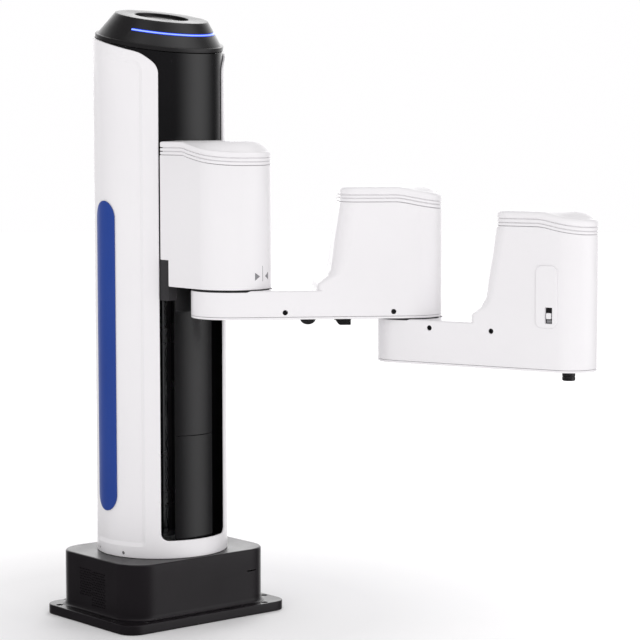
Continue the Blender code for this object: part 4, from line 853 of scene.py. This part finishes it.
def build_carriage():
    top = lambda x: carriage_height(x) - CARRIAGE_LID_DEPTH - LID_GAP
    stations = {}

    def plan(inset):
        if inset not in stations:
            half = carriage_half(inset, 61.9)
            stations[inset] = [(x, -y) for x, y in half] + [(x, y) for x, y in reversed(half)][1:]
        return stations[inset]

    sections = []
    for index in range(len(plan(0.0))):
        x0 = plan(0.0)[index][0]
        bottom = CARRIAGE_CHEEK if x0 < 76.95 else CARRIAGE_BOTTOM
        section = []
        for inset, z in ((2.5, bottom), (1.4, bottom), (0.7, bottom + 0.1), (0.2, bottom + 0.55),
                         (0.0, bottom + 1.3),
                         (0.0, top(x0) - 0.9), (0.25, top(x0) - 0.25), (0.9, top(x0)), (2.5, top(x0))):
            x, y = plan(inset)[index]
            section.append((x, y, z))
        sections.append(section)
    piece("carriage_housing_shell", loft(sections), "carriage", "white_plastic",
          stands_for=["carriage_housing"])

    def lid_plan(inset):
        radius = CARRIAGE_R - inset
        reach = 77.0 + inset
        limit = math.asin(radius / reach)
        half = [(reach * math.cos(limit * i / 12), reach * math.sin(limit * i / 12)) for i in range(13)]
        half += carriage_half(inset, 66.0)[2:]
        return half + [(x, -y) for x, y in reversed(half[1:-1])]

    shape = lid(lid_plan, carriage_height, CARRIAGE_LID_DEPTH, CARRIAGE_GROOVES, 1.6,
                (CARRIAGE_CROWN, CARRIAGE_PEAK), flat=19)
    piece("carriage_lid_top", shape, "carriage", "white_plastic", stands_for=["carriage_lid"])
    # The shoulder seal, widened down into the recess under the carriage: partly the real seal, partly painted
    # shade for the dark gap there.
    seal = rounded([(28, 386.3), (28.2, 384.9), (43.0, 384.9), (43.6, 385.5), (43.6, 387.1), (42.1, 387.6),
                    (28, 387.6)], 0.2)
    piece("shoulder_seal_ring", turned(seal, (SHOULDER_X, 0), 96, closed=True), "carriage", "black_rubber",
          stands_for=["shoulder_seal"])
    marks = []
    for start, end, middle, first, last in ((-1.5, 7.5, 401.6, 4.4, 0.05), (13.1, 13.9, 404.6, 8.5, 8.5),
                                            (19.5, 28.5, 401.6, 0.05, 4.4)):
        sections = []
        for t in (0.0, 0.25, 0.5, 0.75, 1.0):
            angle = math.radians(start + (end - start) * t)
            tall = first + (last - first) * t
            sections.append([(SHOULDER_X + r * math.cos(angle), r * math.sin(angle), middle + z)
                             for r, z in ((44.9, -tall), (45.06, -tall), (45.06, tall), (44.9, tall))])
        marks.append(loft(sections))
    piece("alignment_marks", merged(*marks), "carriage", "mark_grey")


# Arms ---------------------------------------------------------------------------------------------


def side_width(arm, along, inset=0.0):
    lean = (arm["near"] - arm["far"]) / ARM_LENGTH
    straight = math.sqrt(1 - lean * lean)
    return (arm["near"] - inset) / straight - along * lean / straight


NEAR_POINTS = 22
SIDE_POINTS = 9


def far_half(arm, inset):
    near, far = arm["near"] - inset, arm["far"] - inset
    tangent = math.acos((near - far) / ARM_LENGTH)
    half = [(s, side_width(arm, s, inset)) for s in (arm["join"] + 8.0 * i for i in range(1, 9)) if s < 198]
    for step in range(29):
        turn = tangent * (1 - step / 28)
        half.append((ARM_LENGTH + far * math.cos(turn), far * math.sin(turn)))
    return half


def arm_half(arm, inset, side_start, taper=None):
    """Half an arm in plan. With a taper, the inset fades out along the side before the tower."""
    near = arm["near"] - inset
    tangent = math.acos((arm["near"] - arm["far"]) / ARM_LENGTH)
    half = [(near * math.cos(a), near * math.sin(a))
            for a in [math.pi + (tangent - math.pi) * i / (NEAR_POINTS - 5) for i in range(NEAR_POINTS - 4)]]
    start = half[-1][0]
    sides = [start + (side_start - start) * i / 4 for i in range(1, 4)] + [
        side_start + (arm["join"] - side_start) * i / SIDE_POINTS for i in range(SIDE_POINTS + 1)]
    for s in sides:
        kept = inset
        if taper:
            kept = inset * (1 - smooth(taper[0], taper[1], s))
        half.append((s, side_width(arm, s, kept)))
    return half + far_half(arm, 0.0 if taper else inset)


def tower_half(arm, back, corner, inset=0.0):
    rear = back + inset
    radius = max(corner - inset, 1.0)
    end = rear + radius
    width = side_width(arm, end, inset)
    turns = 12
    flat = NEAR_POINTS - 1 - turns
    half = [(rear, (width - radius) * i / flat) for i in range(flat)]
    for turn in quarter(turns):
        half.append((end - radius * math.cos(turn), width - radius + radius * math.sin(turn)))
    for step in range(1, SIDE_POINTS + 1):
        s = end + (arm["join"] - end) * step / SIDE_POINTS
        half.append((s, side_width(arm, s, inset)))
    return half + far_half(arm, inset)


def both(half, height):
    outline = half + [(x, -y) for x, y in reversed(half[1:-1])]
    return [(x, y, height(x) if callable(height) else height) for x, y in outline]


def build_arm(name, arm, backs, tower, screws, matrix, body):
    """An arm's housing with its tower, the lid, the cover underneath and the side screws."""
    end = ARM_LENGTH + arm["far"]
    knee = tower["knee"]
    fall = lambda s: ease(s, knee, end, tower["drop"], tower["power"]) * smooth(knee - 4, knee + 8, s)
    top = lambda s: tower["z"] - fall(s)
    seam = lambda s: top(s) - tower["depth"] - LID_GAP
    foot = arm["bottom"] + 2.8
    side_start = backs[0][0] + backs[0][2]
    taper = (side_start - 14, side_start - 1)
    rings = [both(arm_half(arm, 0.7, side_start), foot), both(arm_half(arm, 0.2, side_start), foot + 0.2),
             both(arm_half(arm, 0.0, side_start), foot + 0.7)]
    for turn in quarter(6):
        inset = ARM_EDGE * (1 - math.cos(turn))
        rings.append(both(arm_half(arm, inset, side_start, taper),
                          arm["top"] - ARM_EDGE + ARM_EDGE * math.sin(turn)))
    rings.append(both(arm_half(arm, ARM_EDGE + 0.8, side_start, taper), arm["top"]))
    start, last = arm["top"] + 40.0, backs[-1][1]

    def under_lid(z):
        """The height, eased down on the upper stretch so that it ends just below the slanted seam."""
        return lambda s: z if z <= start else start + (z - start) * (seam(s) - 1.5 - start) / (last - start)

    for back, z, corner in backs:
        rings.append(both(tower_half(arm, back, corner), under_lid(max(z, arm["top"] + 0.002))))
    back, corner = tower["lean"]
    below = lambda gap: (lambda s: seam(s) - gap)
    rings += [both(tower_half(arm, back, corner, inset), below(gap))
              for inset, gap in ((0.0, 0.9), (0.25, 0.25), (0.8, 0.0), (ARM_WALL, 0.0))]
    ceiling = seam(end) - 8.0
    for back_in, z, corner_in in reversed(backs[3::5]):
        rings.append(both(tower_half(arm, back_in, corner_in, ARM_WALL), min(z, ceiling)))
    rings.append(both(tower_half(arm, backs[0][0], backs[0][2], ARM_WALL), arm["top"] - 2.5))
    rings += [both(arm_half(arm, ARM_WALL, side_start), arm["top"] - 2.502),
              both(arm_half(arm, ARM_WALL, side_start), foot)]
    housing = piece(name + "_housing_shell", loft(rings, closed=True), body, "white_plastic",
                    stands_for=[name + "_housing"], matrix=matrix)
    lean = math.asin((arm["near"] - arm["far"]) / ARM_LENGTH)
    cuts = []
    for side in (-1, 1):
        for number, (s, z) in enumerate(screws):
            normal = Vector((math.sin(lean), side * math.cos(lean), 0))
            spot = Vector((s, side * side_width(arm, s), z))
            cuts.append(drill(spot, normal, 3.0, -1.9, 3, 32))
            turn = normal.to_track_quat("Z", "X").to_matrix().to_4x4()
            index = number + 1 + (2 if side > 0 else 0)
            piece(f"{name}_screw_{index}_head", socket_screw(2.6), body, "screw_dark",
                  [f"{name}_screw_{index}"], matrix=matrix @ Matrix.Translation(spot - normal * 0.95) @ turn)
    carve(housing, cuts, matrix)
    flat = NEAR_POINTS + SIDE_POINTS - 1
    outline = lambda inset: [(x, y) for x, y, _ in both(tower_half(arm, back, corner, inset), 0.0)]
    shape = lid(outline, top, tower["depth"], tower["grooves"], 4.0, (ARM_CROWN, tower["z"] + 0.7),
                flat=flat)
    piece(name + "_lid_top", shape, body, "white_plastic", stands_for=[name + "_lid"], matrix=matrix)
    profile = rounded([(4.0, arm["bottom"]), (0.0, arm["bottom"]), (0.0, arm["bottom"] + 2.5),
                       (4.0, arm["bottom"] + 2.5)], 1.0)
    cover = piece(name + "_base_cover", loft([both(arm_half(arm, i, side_start), z) for i, z in profile]),
                  body,
                  "white_plastic", stands_for=[name + "_base"], matrix=matrix)
    return housing, cover


def build_rear_arm():
    housing, cover = build_arm("rear_arm", REAR, REAR_BACK, REAR_TOP, SCREWS_REAR, TO_ARM, "rear_arm")
    carve(cover, [turned([(26, 350), (26, 360)], (ARM_LENGTH, 0), 96)], TO_ARM)
    carve(housing,
          [turned([(25.0, 384.4), (46.5, 384.4), (46.5, 390.0), (25.0, 390.0)], (0, 0), 96, closed=True)],
          TO_ARM)
    hub = [(20, 384.6), (24, 384.6), (24, 395.6), (23.4, 396.0), (20, 396.0)]
    piece("shoulder_hub", turned(hub, (0, 0), 96), "rear_arm", "white_plastic", matrix=TO_ARM)
    # A black ring in the gap at the elbow: painted shade for the dark gap between the arms.
    lip = rounded([(29.5, 352.2), (33.4, 352.2), (33.9, 352.7), (33.9, 354.2), (29.5, 354.2)], 0.1)
    piece("elbow_lip_seal", turned(lip, (ARM_LENGTH, 0), 96, closed=True), "rear_arm", "black_rubber",
          matrix=TO_ARM)
    dome = [(8.7, 354.2), (8.6, 352.6)]
    dome += [(8.6 * math.cos(a), 352.6 - 6.4 * math.sin(a)) for a in quarter(12, 1)[:-1]]
    piece("stop_bumper_dome", turned(dome, (85.3, -12), 48), "rear_arm", "black_rubber",
          stands_for=["stop_bumper"],
          matrix=TO_ARM)
    side = rounded([(115.2, 354.2), (115.3, 352.4), (118.6, 347.2), (120.4, 346.0), (132.6, 346.0),
                    (132.6, 354.2)], 1.0)
    sections = []
    for y, inset in ((-21.0, 0.5), (-20.5, 0.0), (-4.5, 0.0), (-4.0, 0.5)):
        sections.append([(s + (inset if s < 120 else -inset), y, z + (inset if z < 350 else 0))
                         for s, z in side])
    collar = box_shape((114.4, -17.5, 351.5), (133.4, -7.5, 354.2), 0.3)
    piece("cable_plug_body", merged(loft(sections), collar), "rear_arm", "black_plastic",
          stands_for=["cable_plug"],
          matrix=TO_ARM)


def build_forearm():
    housing, cover = build_arm("forearm", FORE, FORE_BACK, FORE_TOP, SCREWS_FORE, TO_FOREARM, "forearm")
    carve(cover, [turned([(9, 300), (9, 312)], (ARM_LENGTH, 0), 64)], TO_FOREARM)
    carve(housing,
          [turned([(25.0, 351.9), (38.0, 351.9), (38.0, 358.0), (25.0, 358.0)], (0, 0), 96, closed=True)],
          TO_FOREARM)
    hub = [(20, 352.0), (24, 352.0), (24, 357.0), (23.6, 357.3), (20, 357.3)]
    piece("elbow_hub", turned(hub, (0, 0), 96), "forearm", "white_plastic", matrix=TO_FOREARM)
    lean = math.asin((FORE["near"] - FORE["far"]) / ARM_LENGTH)
    plane = TO_FOREARM @ Matrix.Translation((0, -side_width(FORE, 0), 0)) @ Matrix.Rotation(lean, 4, "Z")
    plane = plane @ Matrix.Rotation(math.pi / 2, 4, "X")
    k = 1 / math.cos(lean)
    outline = inset_box((175.0 * k, 200.4 * k, 351.5, 418.5), 7.5, 10)
    profile = [(0.0, -0.5), (0.0, 0.75), (0.12, 1.1), (0.45, 1.4), (0.9, 1.5), (1.5, 1.5)]
    panel = piece("button_panel_plate", loft(stacked(outline, profile)), "forearm",
                  "white_plastic", stands_for=["button_panel"], matrix=plane)
    well = box_shape((186.6 * k, 356.2, -9), (195.1 * k, 373.9, 4), 0.4)
    carve(panel, [well], plane)
    carve(housing, [box_shape((186.9 * k, 356.5, -9), (194.8 * k, 373.6, 4), 0.3)], plane)
    frame_shape = merged(box_shape((187.0 * k, 356.8, -5.5), (194.8 * k, 373.4, -0.4), 0.2),
                         box_shape((187.6 * k, 369.0, -1.0), (194.2 * k, 372.9, 0.9), 0.5))
    switch = piece("switch_body_block", frame_shape, "forearm", "black_plastic", stands_for=["switch_body"],
                   matrix=plane)
    carve(switch, [box_shape((187.7 * k, 361.0, -4.4), (194.1 * k, 368.3, 2), 0.1)], plane)
    piece("teach_button_cap", box_shape((188.1 * k, 361.4, -2.0), (193.7 * k, 367.9, 2.6), 0.7), "button",
          "white_plastic",
          stands_for=["teach_button"], matrix=plane)
    piece("switch_foot", box_shape((188.3 * k, 357.3, -1.0), (193.9 * k, 360.3, 0.6), 0.4), "forearm",
          "mark_grey",
          matrix=plane)
    spindle = [(5.0, 293.0), (6.4, 293.0), (7.2, 293.8), (7.2, 296.6), (6.9, 297.0), (6.9, 297.8),
               (7.2, 298.2), (7.2, 303.0),
               (7.0, 303.4), (7.0, 304.2), (7.2, 304.6), (7.2, 330.0), (11.0, 331.0), (11.0, 337.0),
               (5.0, 338.0), (5.0, 360.0)]
    piece("tool_spindle_shaft", turned([(1.5, 295.0), (1.6, 293.0)] + spindle, (ARM_LENGTH, 0), 64), "tool",
          "black_plastic",
          stands_for=["tool_spindle"], matrix=TO_FOREARM)


# Carried-over nodes, stage, lights and camera -----------------------------------------------------


def dress_nodes():
    """Each CAD node that still shows takes the finish of its material slot."""
    for entry in frame["record"]["subparts"]:
        node = frame["nodes"][entry["node"]]
        for holder in node.material_slots:
            holder.material = MATERIALS[entry["material_slot"]]


def build_stage():
    rings = [circle(radius, 0.0, steps=96) for radius in (9000.0, 3000.0, 900.0, 300.0)]
    floor = piece("studio_floor", loft([[(x, y, -0.4) for x, y, _ in rings[0]]] + rings), None,
                  "floor_white")
    floor.visible_glossy = False
    nodes, links = floor.active_material.node_tree.nodes, floor.active_material.node_tree.links
    place = nodes.new("ShaderNodeTexCoord")
    away = nodes.new("ShaderNodeVectorMath")
    away.operation = "LENGTH"
    links.new(place.outputs["Object"], away.inputs[0])
    glow = nodes.new("ShaderNodeMapRange")
    for name, value in FLOOR_GLOW:
        glow.inputs[name].default_value = value
    links.new(away.outputs["Value"], glow.inputs["Value"])
    links.new(glow.outputs["Result"], nodes["Principled BSDF"].inputs["Emission Strength"])


def area_light(name, location, target, size, power):
    data = bpy.data.lights.new(name, "AREA")
    data.shape = "RECTANGLE"
    data.size, data.size_y = size
    data.energy = power
    light = bpy.data.objects.new(name, data)
    bpy.context.scene.collection.objects.link(light)
    light.location = location
    light.visible_glossy = False
    light.rotation_euler = (Vector(target) - Vector(location)).to_track_quat("-Z", "Y").to_euler()


def build_world():
    """White behind the object, an even dome as the light, and in the gloss a dim room with softboxes."""
    world = bpy.data.worlds.new("studio")
    bpy.context.scene.world = world
    world.use_nodes = True
    world.cycles.sampling_method = "NONE"
    nodes, links = world.node_tree.nodes, world.node_tree.links
    place = nodes.new("ShaderNodeTexCoord")
    rays = nodes.new("ShaderNodeLightPath")

    def maths(operation, *values):
        node = nodes.new("ShaderNodeMath")
        node.operation = operation
        for socket, value in zip(node.inputs, values):
            if isinstance(value, float):
                socket.default_value = value
            else:
                links.new(value, socket)
        return node.outputs["Value"]

    def softbox(azimuth, elevation, reach, strength):
        facing = nodes.new("ShaderNodeVectorMath")
        facing.operation = "DOT_PRODUCT"
        links.new(place.outputs["Generated"], facing.inputs[0])
        turn, lift = math.radians(azimuth), math.radians(elevation)
        facing.inputs[1].default_value = (math.cos(turn) * math.cos(lift), math.sin(turn) * math.cos(lift),
                                          math.sin(lift))
        edge = math.cos(math.radians(reach))
        level = maths("MAXIMUM", maths("DIVIDE", maths("SUBTRACT", facing.outputs["Value"], edge), 1 - edge),
                      0.0)
        return maths("MULTIPLY", maths("POWER", level, 2.0), strength)

    room = ROOM_LIGHT
    for azimuth, elevation, reach, strength in SOFTBOXES:
        room = maths("ADD", softbox(azimuth, elevation, reach, strength), room)
    mixed = nodes.new("ShaderNodeMix")
    links.new(rays.outputs["Is Glossy Ray"], mixed.inputs["Factor"])
    height = nodes.new("ShaderNodeSeparateXYZ")
    links.new(place.outputs["Generated"], height.inputs["Vector"])
    dimmer = maths("MULTIPLY", maths("MAXIMUM", height.outputs["Z"], 0.0), DOME_FALL)
    links.new(maths("SUBTRACT", DOME, dimmer), mixed.inputs["A"])
    links.new(room, mixed.inputs["B"])
    shown = nodes.new("ShaderNodeMix")
    links.new(rays.outputs["Is Camera Ray"], shown.inputs["Factor"])
    links.new(mixed.outputs["Result"], shown.inputs["A"])
    shown.inputs["B"].default_value = 1.0
    backdrop = nodes["Background"]
    backdrop.inputs["Color"].default_value = (1.0, 0.995, 1.0, 1)
    links.new(shown.outputs["Result"], backdrop.inputs["Strength"])


def build_lights():
    build_world()
    for lamp in LAMPS:
        area_light(*lamp)


def build_camera():
    data = bpy.data.cameras.new("camera")
    data.sensor_width = 36.0
    data.lens = CAMERA_LENS
    data.clip_end = 60.0
    camera = bpy.data.objects.new("camera", data)
    bpy.context.scene.collection.objects.link(camera)
    right = Vector((0.6437, 0.7653, 0.0))
    forward_flat = Vector((-0.7653, 0.6437, 0.0))
    pitch, roll = math.radians(CAMERA_PITCH), math.radians(CAMERA_ROLL)
    forward = forward_flat * math.cos(pitch) - Vector((0, 0, math.sin(pitch)))
    up = right.cross(forward)
    side = right * math.cos(roll) + up * math.sin(roll)
    up = up * math.cos(roll) - right * math.sin(roll)
    turn = Matrix((side, up, -forward)).transposed().to_4x4()
    camera.matrix_world = Matrix.Translation(CAMERA_PLACE) @ turn
    bpy.context.scene.camera = camera


build_base()
build_column()
build_stripes()
build_covers()
build_cap()
build_carriage()
build_rear_arm()
build_forearm()
dress_nodes()
build_stage()
build_lights()
build_camera()
bpy.context.scene.view_settings.view_transform = "Standard"
